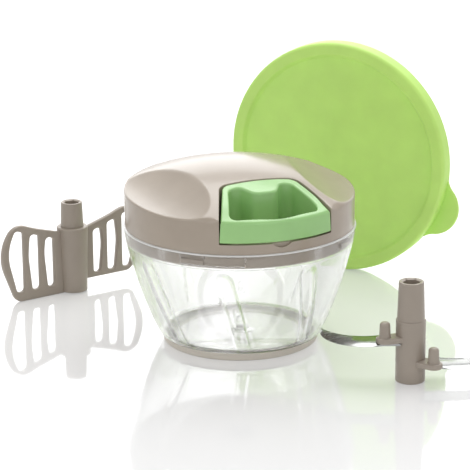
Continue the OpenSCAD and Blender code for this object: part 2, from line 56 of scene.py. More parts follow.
# Mesh making
MARGIN, GRID_GAP = 0.2, 0.7
MITRE_LEAST, SLIVER, WELD = 0.4, 1e-3, 1e-6
MERGE, TINY = 2e-6, 1e-6
SHARP, SHARP_SHELL, SHARP_HUB, SHARP_STEEL = 32.0, 40.0, 38.0, 25.0
PLAN_STEP, PLATE_STEP = 0.9, 1.2
HUB_SIDES = 96

# Bowl
EASE, NEAR, HAIR = 0.4, 0.05, 0.01
RIM_R, RIM_Z, RIM_ROUND, RIM_TURN_IN = 60.3, 62.0, 0.7, 0.2
BOWL_WALL = 2.3
BOWL_FLOOR, BOWL_LOW, BASE_RING = 4.6, 2.0, 20.0
BOWL_FLOOR_RINGS = (30.0, 18.0, 9.0)
SPIGOT_R, SPIGOT_TOP, SPIGOT_OUT = 38.4, 4.2, 0.3
BOWL_CURVE = ((42.0, 4.6), (47.5, 13.0), (59.5, 48.0), (60.3, 62.0))
BOWL_STEPS, BOWL_SIDES = 44, 720
WALL_FROM_R, WALL_FROM_Z = 41.0, 5.0
CORNER_OUT, CORNER_UP, CORNER_POWER, CORNER_TOP = 5.5, 3.0, 2.2, 3.2
CORNER_END, CORNER_STEPS = 0.94, 7
SEAT_R, SEAT_Z, SEAT_EASE = 57.8, 53.6, 0.3
SEAT_RINGS = (60.0, 58.0)
SHELF_OUT, SHELF_DROP = 0.25, 0.05
SLOT_R, SLOT_Z, SLOT_TOP = 59.1, 55.6, 58.5
SLOTS, SLOT_TURN, SLOT_HALF, LOCK_TURN = 4, 45.0, 6.75, 20.0
FLUTES, FLUTE_TURN, FLUTE_LEAN = 8, -25.0, 13.0
FLUTE_DEPTH, FLUTE_HALF, FLUTE_AT_R = 1.15, 4.6, 54.0
FLUTE_MID_Z, FLUTE_TOP_Z, FLUTE_TOP_PULL = 30.5, 47.0, 1.1
FLUTE_LOW_Z, FLUTE_RUN_OUT = 6.0, 5.0
FLUTE_STEEP, FLUTE_POWER = 1.7, 0.7
PIN_R, PIN_TOP, COLLAR_R, COLLAR_Z = 2.2, 11.3, 4.2, 5.4
PIN_TIP = ((0.0, 1.1), (0.3, 0.45), (1.0, 0.05))
COLLAR_FOOT_OUT, COLLAR_FOOT_UP, COLLAR_EASE = 0.5, 0.3, 0.2
FOOT_R, FOOT_IN, FOOT_TOP, FOOT_LIP_R = 40.4, 33.0, 4.55, 38.45
FOOT_ROUNDS = (0.5, 1.3, 0.9, 0.2, 0.1, 0.4)
FOOT_SIDES = 160

# Lid
LID_R, LID_LOW, LID_WALL, LID_EDGE = 59.5, 62.1, 2.2, 2.6
LID_TOP_EXTRA = 0.2
DOME_R, DOME_Z, DOME_BACK = 153.0, -59.5, 5.0
SCOOP_R, SCOOP_OUT, SCOOP_Z, SCOOP_TURN, SCOOP_RISE = 43.3, 56.9, 123.0, 83.0, 0.0507
CREST_SOFT = 0.25
EDGE_TURNS, EDGE_SHARES, EDGE_TAPER = (36, 44, 122, 134), (1.08, 0.4, 0.4, 0.96), 5.0
EDGE_STEPS, LID_ARC_STEPS, FRONT_STEPS = 8, 220, 40
OUTER_SPACING, INNER_SPACING, SPACING_CLEAR = 1.25, 3.0, 0.55
POCKET_Z, POCKET_WALL, POCKET_GAP, POCKET_EDGE, POCKET_STEPS = 67.1, 2.0, 0.7, 0.45, 8
NOTCH_R, NOTCH_Z, NOTCH_DEPTH, NOTCH_OUT, NOTCH_SIDES = 7.1, 72.0, 1.4, 6.0, 64
LIP, LIP_STEPS = 0.15, 4
EYELET_BORE, EYELET_FROM, EYELET_TO, LEAD_Z = 2.45, -19.0, -26.0, 78.4
BORE_SIDES = 32

# Handle
HANDLE_LOW, HANDLE_BACK, HANDLE_SINK = 67.8, 24.5, 0.15
HANDLE_LEFT, HANDLE_RIGHT = (19.2, 33.2), (20.6, 30.9)
HANDLE_CORNER, HANDLE_R, HANDLE_FRONT_R = 5.0, 59.3, 59.0
HANDLE_LEAN, LEAN_Z, LEAN_SPAN = 0.026, 73.2, 11.9
HANDLE_EDGE, HANDLE_FRONT_EDGE, HOLE_EDGE = 0.8, 1.3, 1.2
HANDLE_STEPS, HANDLE_FRONT_STEPS, EDGE_BLENDS = 7, 64, 6
NOSE_FROM, NOSE_RUN, NOSE_DROP = 48.0, 9.0, 0.9
FINGER_HOLE = ((-17.6, -29), (-11.5, -29), (-6, -37.2), (6, -37.2), (11, -29), (17, -29),
               (23.8, -51.5), (0, -57.8), (-25.2, -51.5))
FINGER_ROUNDS = (4, 4, 6, 6, 4, 4, 4, 30, 4)
FINGER_STEP, FINGER_STEPS = 0.8, 10
HANDLE_GRID_X, HANDLE_GRID_Y, HANDLE_GRID_STEP = (-34, 34.1), (-60, -24), 1.1
POST_Y = -30.5
KNOT_ROOM, KNOT_BELOW, KNOT_TOP = 2.5, 1.0, 81.0
CORD_R, CORD_ROOM, CORD_FROM, CORD_TO = 0.8, 0.05, -22.3, -28.6
CORD_SIDES, CORD_RINGS, CORD_BORE_BACK, CORD_BORE_SIDES = 16, 60, 2.0, 20

# Inserts
BLADE_AT, BLADE_TURN = (53.4, -95.0, 0.0), -20.7
PADDLE_AT, PADDLE_TURN = (-58.6, 108.0, 0.0), 14.0
HUB_TOP, SOCKET_LOW, SOCKET_FLAT = 51.4, 44.8, 3.83
SOCKET_MOUTH, SOCKET_EASE = 1.1, 0.6
BORE_R, BORE_TOP = 2.25, 10.0
BLADE_HUB = ((6.6, 0), (7.4, 0), (7.4, 32), (6.9, 32), (6.2, HUB_TOP), (5.4, HUB_TOP))
BLADE_HUB_ROUNDS = (0.7, 0.45, 0.05, 0.5)
ARM_HALF, ARM_END, ARM_T, ARM_ROOT = 4.5, 18.0, 2.8, 1.0
ARM_TOP_EDGE, ARM_LOW_EDGE, ARM_STEP, ARM_STEPS = 0.8, 0.6, 1.5, 24
ARMS = ((12.0, -38.0), (24.0, 197.0))
PEG_AT, PEG_SINK, PEG_TOP, PEG_ROUND, PEG_SIDES = 13.6, -0.3, 6.2, 1.6, 40
PEG_FOOT = ((3.3, -0.3), (3.1, 0.1), (2.9, 0.5), (2.8, 1.0), (2.6, 6.2))
PEG_TURN, PEG_STEPS, PEG_CROWN = 0.2, 7, 1.0
UPPER_BLADE_Z, LOWER_BLADE_Z, BLADE_T = 21.2, 9.2, 1.2
BLADE_ROOT, BLADE_HALF, BLADE_TAPER, ROOT_STEPS = (5.5, 13.5), 6.5, 0.25, 6
# Each side of a blade is an arc: its centre, radius, first turn and last turn
BLADE_EDGE = ((21.6, 14.95), 22.5, -109.7, 11.85)
BLADE_BACK = ((22.5, 29.64), 23.4, -111.3, -25.5)
BLADE_END, BLADE_STEPS = 0.985, 40
BLUNT_FROM, BLUNT_RUN, BLUNT_PULL = 0.93, 0.055, 0.25
GRIND_RUN, BEVEL_MOST, BEVEL_W, BEVEL_DROP, TIP_W = 0.12, 0.42, 3.2, 0.5, 0.5
SPINE_EASE, SPINE_SHARE, EDGE_LAND = 0.12, 0.02, 0.05
SLEEVE_IN, SLEEVE_LOW, SLEEVE_LOW_R, SLEEVE_R, PADDLE_STEP = 6.42, 0.5, 7.6, 8.7, 37.5
SLEEVE_ROUNDS = (0.1, 0.3, 0.8, 0.1)
PADDLE_HUB = ((5.6, 0), (6.4, 0), (6.4, PADDLE_STEP), (5.9, HUB_TOP), (5.3, HUB_TOP))
PADDLE_HUB_ROUNDS = (0.6, 2.0, 0.45)
WING_HALF, WING_EDGE, WING_LIFT, WING_BITE = 1.5, 0.9, 5.5, 0.4
WING_LOW_X, WING_FAR, WING_TOP = 37.4, (48.2, 29), (36.8, 45.2)
WING_DIP, WING_IN_Z = (24.3, 40.3), 35.2
WING_ROUNDS = (0, 6, 24, 9, 60, 0)
WING_STEPS, SLOT_STEPS = 16, 12
SLOT_BASE, SLOT_FOLLOW, SLOT_CAP = 5.5, 0.5, 4.4
SLOT_LOW_ROUND, SLOT_OUT_ROUND, SLOT_IN_ROUND = 1.9, 2.2, 2.0
# Each slot in a wing: four shares of the wing's length (inner side, outer side low, middle and high),
# the height of its outer bend and the bend's radius
WING_SLOTS = ((0.342, 0.452, 0.5, 0.47, 25, 34),
              (0.588, 0.714, 0.766, 0.732, 25, 34),
              (0.85, 0.973, 1.128, 0.98, 29, 25))

# Storage lid
CAP_AT, CAP_TURN, CAP_R = (91.9, 88.2, 66.0), 222.0, 66.0
CAP_DEPTH, CAP_WALL, CAP_SIDES = 10.0, 1.6, 192
PANEL_R, PANEL_SINK, PANEL_RING, BORDER_R = 57.6, 2.4, 30.0, 59.2
GRIP_R, GRIP_DEPTH = 62.05, 7.0
UNDER_OUT_R, UNDER_IN_R = 59.7, 58.4
CAP_ROUNDS = (0, 0, 1.2, 1.2, 2.2, 0.6, 0.5, 0.6, 0.3, 0.5, 0.5, 0.2, 0.6, 0.8, 0)
TAB_OUT, TAB_R, TAB_FLANK, TAB_ROOT, TAB_TURN = 61.0, 16.0, 12.0, 64.6, 67.0
TAB_TOP, TAB_LOW, TAB_EDGE = -7.3, -9.1, 0.6
FLANK_STOP, FLANK_STEPS, TAB_STEPS, ROOT_ARC_STEPS = 0.25, 16, 64, 32


# Mesh building

def turn_of(point):
    """The turn of a plan point about the middle, in radians."""
    return math.atan2(point[1], point[0])


def arc_points(radius, turns, centre=(0.0, 0.0)):
    """Points on a circle at the given turns (radians)."""
    return [(centre[0] + radius * math.cos(t), centre[1] + radius * math.sin(t)) for t in turns]


def soft_step(share):
    """A share from 0 to 1 that starts and ends gently."""
    return share * share * (3 - 2 * share)


def rounded(points, radii, steps=6):
    """A closed polygon's points with each corner rounded to its own radius."""
    out = []
    count = len(points)
    for i, radius in enumerate(radii):
        p = np.array(points[i], float)
        if radius <= 0:
            out.append(tuple(p))
            continue
        ua = np.array(points[i - 1], float) - p
        ub = np.array(points[(i + 1) % count], float) - p
        ua /= np.linalg.norm(ua)
        ub /= np.linalg.norm(ub)
        half = math.acos(float(np.clip(ua @ ub, -1, 1))) / 2
        mid = (ua + ub) / np.linalg.norm(ua + ub)
        centre = p + mid * radius / math.sin(half)
        start = p + ua * radius / math.tan(half) - centre
        end = p + ub * radius / math.tan(half) - centre
        turn0 = math.atan2(start[1], start[0])
        sweep = (math.atan2(end[1], end[0]) - turn0 + 3 * math.pi) % (2 * math.pi) - math.pi
        out += arc_points(radius, [turn0 + sweep * k / steps for k in range(steps + 1)], centre)
    return out


def dense(loop, step, closed=True):
    """The same path with no stretch longer than step."""
    out = []
    count = len(loop)
    for i in range(count if closed else count - 1):
        a = np.array(loop[i], float)
        b = np.array(loop[(i + 1) % count], float)
        parts = max(1, int(math.ceil(np.linalg.norm(b - a) / step)))
        out += [tuple(a + (b - a) * k / parts) for k in range(parts)]
    if not closed:
        out.append(tuple(loop[-1]))
    return out


def offset(loop, dist):
    """A closed loop moved to its left by dist, one number or one for each point."""
    p = np.asarray(loop, float)
    e = np.roll(p, -1, 0) - p
    n = np.stack([-e[:, 1], e[:, 0]], 1)
    n /= np.linalg.norm(n, axis=1, keepdims=True)
    m = n + np.roll(n, 1, 0)
    m /= np.maximum((m * m).sum(1, keepdims=True) / 2, MITRE_LEAST)
    return p + m * np.reshape(dist, (-1, 1))


def inside(points, loops):
    """Which points lie inside the loops, by the even-odd rule."""
    points = np.asarray(points, float)
    odd = np.zeros(len(points), bool)
    for loop in loops:
        a = np.asarray(loop, float)
        b = np.roll(a, -1, 0)
        for (x0, y0), (x1, y1) in zip(a, b):
            if y0 == y1:
                continue
            cross = ((y0 > points[:, 1]) != (y1 > points[:, 1])) & (
                points[:, 0] < (x1 - x0) * (points[:, 1] - y0) / (y1 - y0) + x0)
            odd ^= cross
    return odd


def clear_of(points, loops, gap):
    """Which points keep gap from every loop's own points."""
    points = np.asarray(points, float)
    keep = np.ones(len(points), bool)
    for loop in loops:
        for q in np.asarray(loop, float):
            keep &= ((points - q) ** 2).sum(1) > gap * gap
    return keep


def fill(loops, points=()):
    """Triangles over the area inside the loops, through the extra points and without slivers."""
    flat = [p for loop in loops for p in loop] + list(points)
    edges = []
    for loop in loops:
        base = len(edges)
        edges += [(base + i, base + (i + 1) % len(loop)) for i in range(len(loop))]
    out, _, tris, _, _, _ = delaunay_2d_cdt([Vector(p) for p in flat], edges, [], 0, WELD)
    out = np.array([tuple(v) for v in out])
    corners = out[np.array([list(t) for t in tris])]
    sides = np.roll(corners, -1, 1) - corners
    twice = np.abs(sides[:, 0, 0] * sides[:, 1, 1] - sides[:, 0, 1] * sides[:, 1, 0])
    broad = twice > SLIVER * np.linalg.norm(sides, axis=2).max(1)
    keep = inside(corners.mean(1), loops) & broad
    return out, [tuple(t) for t, k in zip(tris, keep) if k]


def join(*parts):
    """Several meshes as one."""
    verts, faces, base = [], [], 0
    for v, f in parts:
        verts.append(np.asarray(v, float))
        faces += [tuple(i + base for i in face) for face in f]
        base += len(v)
    return np.concatenate(verts), faces


def place(part, matrix):
    """A mesh moved by a matrix in millimetres."""
    verts = np.asarray(part[0], float)
    m = np.array(matrix)
    return verts @ m[:3, :3].T + m[:3, 3], part[1]


def at(position, turn=0.0):
    """A place with a turn about Z, in degrees."""
    return Matrix.Translation(position) @ Matrix.Rotation(math.radians(turn), 4, "Z")


def strip(rings, closed=True):
    """Quads between rings of equal count."""
    count = len(rings[0])
    faces = []
    for r in range(len(rings) - 1):
        for i in range(count if closed else count - 1):
            j = (i + 1) % count
            faces.append((r * count + i, r * count + j, (r + 1) * count + j, (r + 1) * count + i))
    return np.concatenate([np.asarray(ring, float) for ring in rings]), faces


def end_faces(total, count):
    """The two faces that close a strip of closed rings."""
    return [tuple(range(count)), tuple(range(total - count, total))]


def lathe(profile, count, closed=True):
    """A profile of (radius, height) spun about Z, from the front round through +X."""
    turns = np.linspace(0, 2 * math.pi, count, endpoint=False)
    verts, rings = [], []
    for r, z in profile:
        if r < TINY:
            rings.append([len(verts)])
            verts.append((0.0, 0.0, z))
        else:
            rings.append(list(range(len(verts), len(verts) + count)))
            verts += [(r * math.sin(t), -r * math.cos(t), z) for t in turns]
    faces = []
    for a, b in zip(rings, rings[1:] + (rings[:1] if closed else [])):
        if len(a) == 1 and len(b) == 1:
            continue
        for i in range(count):
            j = (i + 1) % count
            if len(a) == 1:
                faces.append((a[0], b[j], b[i]))
            elif len(b) == 1:
                faces.append((a[i], a[j], b[0]))
            else:
                faces.append((a[i], a[j], b[j], b[i]))
    return np.array(verts), faces


def lift(flat, height):
    """Plan points with a height from a number or a function of x and y."""
    flat = np.asarray(flat, float)
    z = height(flat[:, 0], flat[:, 1]) if callable(height) else np.full(len(flat), float(height))
    return np.column_stack([flat, z])


def slab(loops, top, low, round_top, round_low, points=(), steps=5):
    """A solid between two heights over a plan, with its edges rounded and a flat ring inside them.

    The first loop runs counter-clockwise and the holes clockwise, so the material lies to the left.
    """
    parts, top_loops, low_loops = [], [], []
    for k, loop in enumerate(loops):
        r_top = round_top[k] if isinstance(round_top, (list, tuple)) else round_top
        r_top = np.broadcast_to(np.asarray(r_top, float), (len(loop),))
        r_low = np.full(len(loop), float(round_low))
        rings = []
        for a in np.linspace(0, math.pi / 2, steps):
            ring = lift(offset(loop, r_low * (1 - math.sin(a))), low)
            ring[:, 2] += r_low * (1 - math.cos(a))
            rings.append(ring)
        for a in np.linspace(0, math.pi / 2, steps):
            ring = lift(offset(loop, r_top * (1 - math.cos(a))), top)
            ring[:, 2] -= r_top * (1 - math.sin(a))
            rings.append(ring)
        rings.insert(0, lift(offset(loop, r_low + MARGIN), low))
        rings.append(lift(offset(loop, r_top + MARGIN), top))
        parts.append(strip(rings))
        low_loops.append([tuple(p) for p in rings[0][:, :2]])
        top_loops.append([tuple(p) for p in rings[-1][:, :2]])
    points = np.asarray(points, float).reshape(-1, 2)
    if len(points):
        points = points[inside(points, top_loops) & clear_of(points, top_loops, GRID_GAP)]
    for inner, height, extra in ((top_loops, top, points), (low_loops, low, ())):
        flat, tris = fill(inner, [tuple(p) for p in extra])
        parts.append((lift(flat, height), tris))
    return join(*parts)


def tidy_mesh(mesh, sharp):
    """Merge doubles, turn the faces outwards and shade smooth, except at sharp edges (degrees)."""
    bm = bmesh.new()
    bm.from_mesh(mesh)
    bmesh.ops.remove_doubles(bm, verts=bm.verts, dist=MERGE)
    bmesh.ops.dissolve_degenerate(bm, dist=TINY, edges=bm.edges)
    bmesh.ops.recalc_face_normals(bm, faces=bm.faces)
    bm.to_mesh(mesh)
    bm.free()
    mesh.polygons.foreach_set("use_smooth", [True] * len(mesh.polygons))
    mesh.set_sharp_from_angle(angle=math.radians(sharp))


def new_mesh(name, part, sharp):
    """A Blender mesh from points in millimetres and faces."""
    mesh = bpy.data.meshes.new(name)
    mesh.from_pydata([tuple(v) for v in np.asarray(part[0]) * MM], [], part[1])
    tidy_mesh(mesh, sharp)
    return mesh


def make(name, part, material, body, nodes, sharp=SHARP):
    """A Blender object from a mesh, riding on a body and standing for CAD nodes."""
    mesh = new_mesh(name, part, sharp)
    mesh.materials.append(material)
    obj = bpy.data.objects.new(name, mesh)
    scene.collection.objects.link(obj)
    if body:
        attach(obj, body)
    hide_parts(*nodes)
    return obj


def cut(obj, part, sharp):
    """Take a solid out of an object's mesh."""
    tool = bpy.data.objects.new("cutter", new_mesh("cutter", part, sharp))
    scene.collection.objects.link(tool)
    mod = obj.modifiers.new("cut", "BOOLEAN")
    mod.operation = "DIFFERENCE"
    mod.solver = "EXACT"
    mod.object = tool
    graph = bpy.context.evaluated_depsgraph_get()
    new = bpy.data.meshes.new_from_object(obj.evaluated_get(graph))
    obj.modifiers.remove(mod)
    bpy.data.objects.remove(tool)
    old = obj.data
    obj.data = new
    new.name = old.name
    tidy_mesh(new, sharp)
    bpy.data.meshes.remove(old)


def rod(start, end, radius, count):
    """A plain round bar between two points, used as a cutter."""
    a, b = Vector(start), Vector(end)
    turn = (b - a).to_track_quat("Z", "Y").to_matrix().to_4x4()
    bar = lathe([(0, 0), (radius, 0), (radius, (b - a).length), (0, (b - a).length)], count, False)
    return place(bar, Matrix.Translation(a) @ turn)


# Finishes

WHITE = (1, 1, 1, 1)
TONE_SPREAD, TONE_SCALE = 0.035, 60.0
FINE_SCALE, FINE_DETAIL, FINE_DEPTH = 1400.0, 2.0, 0.0002
COAT_ROUGH, GLOW_DEPTH, GLOW_RADIUS = 0.12, 0.002, (1.0, 1.0, 0.6)
LINE_SCALE, LINE_DETAIL, LINE_STRENGTH, LINE_DEPTH = 300.0, 4.0, 0.03, 0.0001
LINE_TONES, LINE_ROUGH = (0.94, 1.04), (0.7, 1.3)
CLEAR_LOW, CLEAR_HIGH = (0.988, 0.99, 0.99, 1), (0.996, 0.997, 0.997, 1)
CLEAR_IOR, CLEAR_ROUGH, CLEAR_SCALE = 1.4, 0.015, 30.0
WAVE_SCALE, WAVE_DETAIL, WAVE_STRENGTH, WAVE_DEPTH = 45.0, 1.0, 0.04, 0.0004
# Share of the light that passes the clear walls straight, and how level a face is where that ends
STRAIGHT_SHARE, STRAIGHT_TINT, STEEP, LEVEL = 0.34, (0.975, 0.978, 0.975, 1), 0.8, 0.95
# Heights (metres) between which the bowl's rim top is painted pale as a highlight, how much, and that painted
# highlight's colour and roughness
RIM_HIGHLIGHT_FROM, RIM_HIGHLIGHT_TO, RIM_HIGHLIGHT_SHARE = 0.0611, 0.0614, 0.8
RIM_HIGHLIGHT_COLOUR, RIM_HIGHLIGHT_ROUGH = (0.9, 0.9, 0.89, 1), 0.2
STRAND_SCALE, STRAND_TURN, STRAND_STRENGTH, STRAND_DEPTH = 700.0, 0.6, 0.4, 0.0002
STRAND_TONES, STRAND_ENDS, STRAND_ROUGH = (0.8, 1.05), (0.1, 0.6), 0.8


def lin(r, g, b):
    """Linear colour of an sRGB colour given in 0 to 255."""
    out = []
    for c in (r, g, b):
        c /= 255
        out.append(c / 12.92 if c <= 0.04045 else ((c + 0.055) / 1.055) ** 2.4)
    return (*out, 1.0)


def shade(colour, factor):
    """A lighter or darker tone of a colour."""
    return (*(min(1.0, c * factor) for c in colour[:3]), 1.0)


def put(node, values):
    """Set a node's inputs by their names."""
    for name, value in values.items():
        node.inputs[name].default_value = value
    return node


def calculate(nodes, links, operation, *sources):
    """The result of a calculation on sockets and numbers."""
    node = nodes.new("ShaderNodeMath")
    node.operation = operation
    for socket, source in zip(node.inputs, sources):
        if isinstance(source, float):
            socket.default_value = source
        else:
            links.new(source, socket)
    return node.outputs["Value"]


def map_range(nodes, links, source, low, high, first, last):
    """A value that goes from first to last as another goes from low to high."""
    ends = {"From Min": low, "From Max": high, "To Min": first, "To Max": last}
    node = put(nodes.new("ShaderNodeMapRange"), ends)
    links.new(source, node.inputs["Value"])
    return node.outputs["Result"]


def new_material(name):
    """A material with its nodes, links and main shader."""
    mat = bpy.data.materials.new(name)
    mat.use_nodes = True
    nodes, links = mat.node_tree.nodes, mat.node_tree.links
    return mat, nodes, links, nodes["Principled BSDF"]


def grain(nodes, links, scale, detail=3.0, stretch=(1, 1, 1)):
    """Noise in the object's own coordinates."""
    coords = nodes.new("ShaderNodeTexCoord")
    mapping = put(nodes.new("ShaderNodeMapping"), {"Scale": stretch})
    noise = put(nodes.new("ShaderNodeTexNoise"), {"Scale": scale, "Detail": detail})
    links.new(coords.outputs["Object"], mapping.inputs["Vector"])
    links.new(mapping.outputs["Vector"], noise.inputs["Vector"])
    return noise.outputs["Fac"]


def ramp(nodes, links, source, low, high, ends=(0.3, 0.7)):
    """A change from one colour to another along a value."""
    node = nodes.new("ShaderNodeValToRGB")
    for element, position, colour in zip(node.color_ramp.elements, ends, (low, high)):
        element.position = position
        element.color = colour
    links.new(source, node.inputs["Fac"])
    return node.outputs["Color"]


def bump(nodes, links, source, bsdf, strength, distance):
    """A fine relief on a shader's surface."""
    node = put(nodes.new("ShaderNodeBump"), {"Strength": strength, "Distance": distance})
    links.new(source, node.inputs["Height"])
    links.new(node.outputs["Normal"], bsdf.inputs["Normal"])


def plastic(name, colour, rough, texture=0.05, coat=0.0, bounce=0.0):
    """Moulded plastic: a faint uneven tone and a fine surface texture."""
    mat, nodes, links, bsdf = new_material(name)
    tones = shade(colour, 1 - TONE_SPREAD), shade(colour, 1 + TONE_SPREAD)
    links.new(ramp(nodes, links, grain(nodes, links, TONE_SCALE), *tones), bsdf.inputs["Base Color"])
    put(bsdf, {"Roughness": rough, "Coat Weight": coat, "Coat Roughness": COAT_ROUGH})
    put(bsdf, {"Subsurface Weight": bounce, "Subsurface Radius": GLOW_RADIUS, "Subsurface Scale": GLOW_DEPTH})
    bump(nodes, links, grain(nodes, links, FINE_SCALE, FINE_DETAIL), bsdf, texture, FINE_DEPTH)
    return mat


def metal(name, colour, rough, stretch=(1, 1, 1)):
    """Polished or ground metal with faint lines along its grinding."""
    mat, nodes, links, bsdf = new_material(name)
    lines = grain(nodes, links, LINE_SCALE, LINE_DETAIL, stretch)
    tones = (shade(colour, factor) for factor in LINE_TONES)
    links.new(ramp(nodes, links, lines, *tones), bsdf.inputs["Base Color"])
    greys = ((rough * factor,) * 3 + (1,) for factor in LINE_ROUGH)
    links.new(ramp(nodes, links, lines, *greys), bsdf.inputs["Roughness"])
    put(bsdf, {"Metallic": 1.0})
    bump(nodes, links, lines, bsdf, LINE_STRENGTH, LINE_DEPTH)
    return mat


def blend_shaders(nodes, links, factor, first, second):
    """A mix of two shaders by a factor."""
    mix = nodes.new("ShaderNodeMixShader")
    links.new(factor, mix.inputs["Fac"])
    links.new(first, mix.inputs[1])
    links.new(second, mix.inputs[2])
    return mix.outputs["Shader"]


def size_of_z(nodes, links, vector):
    """The size of a vector's Z, whatever its sign."""
    split = nodes.new("ShaderNodeSeparateXYZ")
    links.new(vector, split.inputs["Vector"])
    return calculate(nodes, links, "ABSOLUTE", split.outputs["Z"])


def clear_plastic(name):
    """Clear moulded plastic, with a painted highlight: its rim's top is painted pale.

    Shadow rays pass straight through, and so does a share of the other rays at its steep walls.
    """
    mat, nodes, links, bsdf = new_material(name)
    tone = ramp(nodes, links, grain(nodes, links, CLEAR_SCALE), CLEAR_LOW, CLEAR_HIGH)
    links.new(tone, bsdf.inputs["Base Color"])
    put(bsdf, {"Roughness": CLEAR_ROUGH, "Transmission Weight": 1.0, "IOR": CLEAR_IOR})
    bump(nodes, links, grain(nodes, links, WAVE_SCALE, WAVE_DETAIL), bsdf, WAVE_STRENGTH, WAVE_DEPTH)
    coords = nodes.new("ShaderNodeTexCoord")
    shape = nodes.new("ShaderNodeNewGeometry")
    path = nodes.new("ShaderNodeLightPath")
    through = put(nodes.new("ShaderNodeBsdfTransparent"), {"Color": STRAIGHT_TINT})
    slope = size_of_z(nodes, links, shape.outputs["True Normal"])
    share = map_range(nodes, links, slope, STEEP, LEVEL, STRAIGHT_SHARE, 0.0)
    straight = calculate(nodes, links, "MAXIMUM", path.outputs["Is Shadow Ray"], share)
    clear = blend_shaders(nodes, links, straight, bsdf.outputs["BSDF"], through.outputs["BSDF"])
    # Painted highlight: a pale opaque shader over the rim's top stands in for the rim's glint
    rim = put(nodes.new("ShaderNodeBsdfPrincipled"), {"Base Color": RIM_HIGHLIGHT_COLOUR, "Roughness": RIM_HIGHLIGHT_ROUGH})
    height = size_of_z(nodes, links, coords.outputs["Object"])
    highlight_share = map_range(nodes, links, height, RIM_HIGHLIGHT_FROM, RIM_HIGHLIGHT_TO, 0.0, RIM_HIGHLIGHT_SHARE)
    surface = blend_shaders(nodes, links, highlight_share, clear, rim.outputs["BSDF"])
    links.new(surface, nodes["Material Output"].inputs["Surface"])
    return mat


def braid(name, colour):
    """Braided cord: crossing strands as a fine diagonal relief."""
    mat, nodes, links, bsdf = new_material(name)
    coords = nodes.new("ShaderNodeTexCoord")
    waves = []
    for turn in (STRAND_TURN, -STRAND_TURN):
        mapping = put(nodes.new("ShaderNodeMapping"), {"Rotation": (turn, turn, turn)})
        wave = put(nodes.new("ShaderNodeTexWave"), {"Scale": STRAND_SCALE})
        links.new(coords.outputs["Object"], mapping.inputs["Vector"])
        links.new(mapping.outputs["Vector"], wave.inputs["Vector"])
        waves.append(wave.outputs["Fac"])
    both = calculate(nodes, links, "MULTIPLY", *waves)
    tones = (shade(colour, factor) for factor in STRAND_TONES)
    links.new(ramp(nodes, links, both, *tones, STRAND_ENDS), bsdf.inputs["Base Color"])
    put(bsdf, {"Roughness": STRAND_ROUGH})
    bump(nodes, links, both, bsdf, STRAND_STRENGTH, STRAND_DEPTH)
    return mat


TAUPE = lin(168, 155, 140)
GREEN = lin(158, 206, 132)
LIME = lin(198, 238, 124)
taupe_gloss = plastic("taupe_gloss", TAUPE, 0.25, coat=0.2)
taupe_soft = plastic("taupe_soft", lin(214, 207, 195), 0.42, texture=0.15)
taupe_satin = plastic("taupe_satin", lin(160, 149, 137), 0.34, texture=0.1)
green_gloss = plastic("green_gloss", GREEN, 0.26, coat=0.2)
lime_soft = plastic("lime_soft", LIME, 0.5, texture=0.12, bounce=0.15)
white_plastic = plastic("white_acetal", lin(226, 226, 220), 0.4)
dark_plastic = plastic("dark_nylon", lin(70, 70, 72), 0.38, texture=0.12)
bowl_clear = clear_plastic("bowl_clear")
blade_steel = metal("blade_steel", (0.36, 0.365, 0.36, 1), 0.24, (0.15, 1, 1))
spring_steel = metal("spring_steel", (0.62, 0.63, 0.65, 1), 0.3)
cord_braid = braid("cord_braid", lin(232, 230, 222))


# Bowl

def bezier(points, u):
    """The point at share u along a cubic curve."""
    a, b, c, d = (np.array(p, float) for p in points)
    return (1 - u) ** 3 * a + 3 * u * (1 - u) ** 2 * b + 3 * u * u * (1 - u) * c + u ** 3 * d


def flute_depth(turn, z):
    """How far the flutes sink the wall at a turn from the front (radians) and a height."""
    total = np.zeros_like(turn)
    for i in range(FLUTES):
        middle = math.radians(FLUTE_TURN + i * 360 / FLUTES)
        away = (turn - middle + math.pi) % (2 * math.pi) - math.pi
        across = away * FLUTE_AT_R + math.tan(math.radians(FLUTE_LEAN)) * (z - FLUTE_MID_Z)
        above = np.maximum(z - FLUTE_TOP_Z, 0)
        reach = (across ** 2 + (above * FLUTE_TOP_PULL) ** 2) / FLUTE_HALF ** 2
        total = np.maximum(total, np.clip((1 - reach) * FLUTE_STEEP, 0, 1) ** FLUTE_POWER)
    fade = np.clip((z - FLUTE_LOW_Z) / FLUTE_RUN_OUT, 0, 1)
    return FLUTE_DEPTH * total * fade


def open_slots(new, r, turn, z):
    """The wall's new radii with the seat opened at each bayonet slot, by a way in and a groove."""
    on_seat = np.abs(r - SEAT_R) < NEAR
    on_rim = (np.abs(r - SEAT_R - EASE) < NEAR) & (z > RIM_Z - 2 * NEAR)
    for i in range(SLOTS):
        away = (np.degrees(turn) - SLOT_TURN - i * 360 / SLOTS + 180) % 360 - 180
        way_in = (np.abs(away) < SLOT_HALF) & (z > SLOT_Z)
        groove = (away > -SLOT_HALF) & (away < SLOT_HALF + LOCK_TURN) & (z > SLOT_Z) & (z < SLOT_TOP)
        new = np.where(on_seat & (way_in | groove), SLOT_R, new)
        new = np.where(on_rim & way_in, SLOT_R + SEAT_EASE, new)
    return new


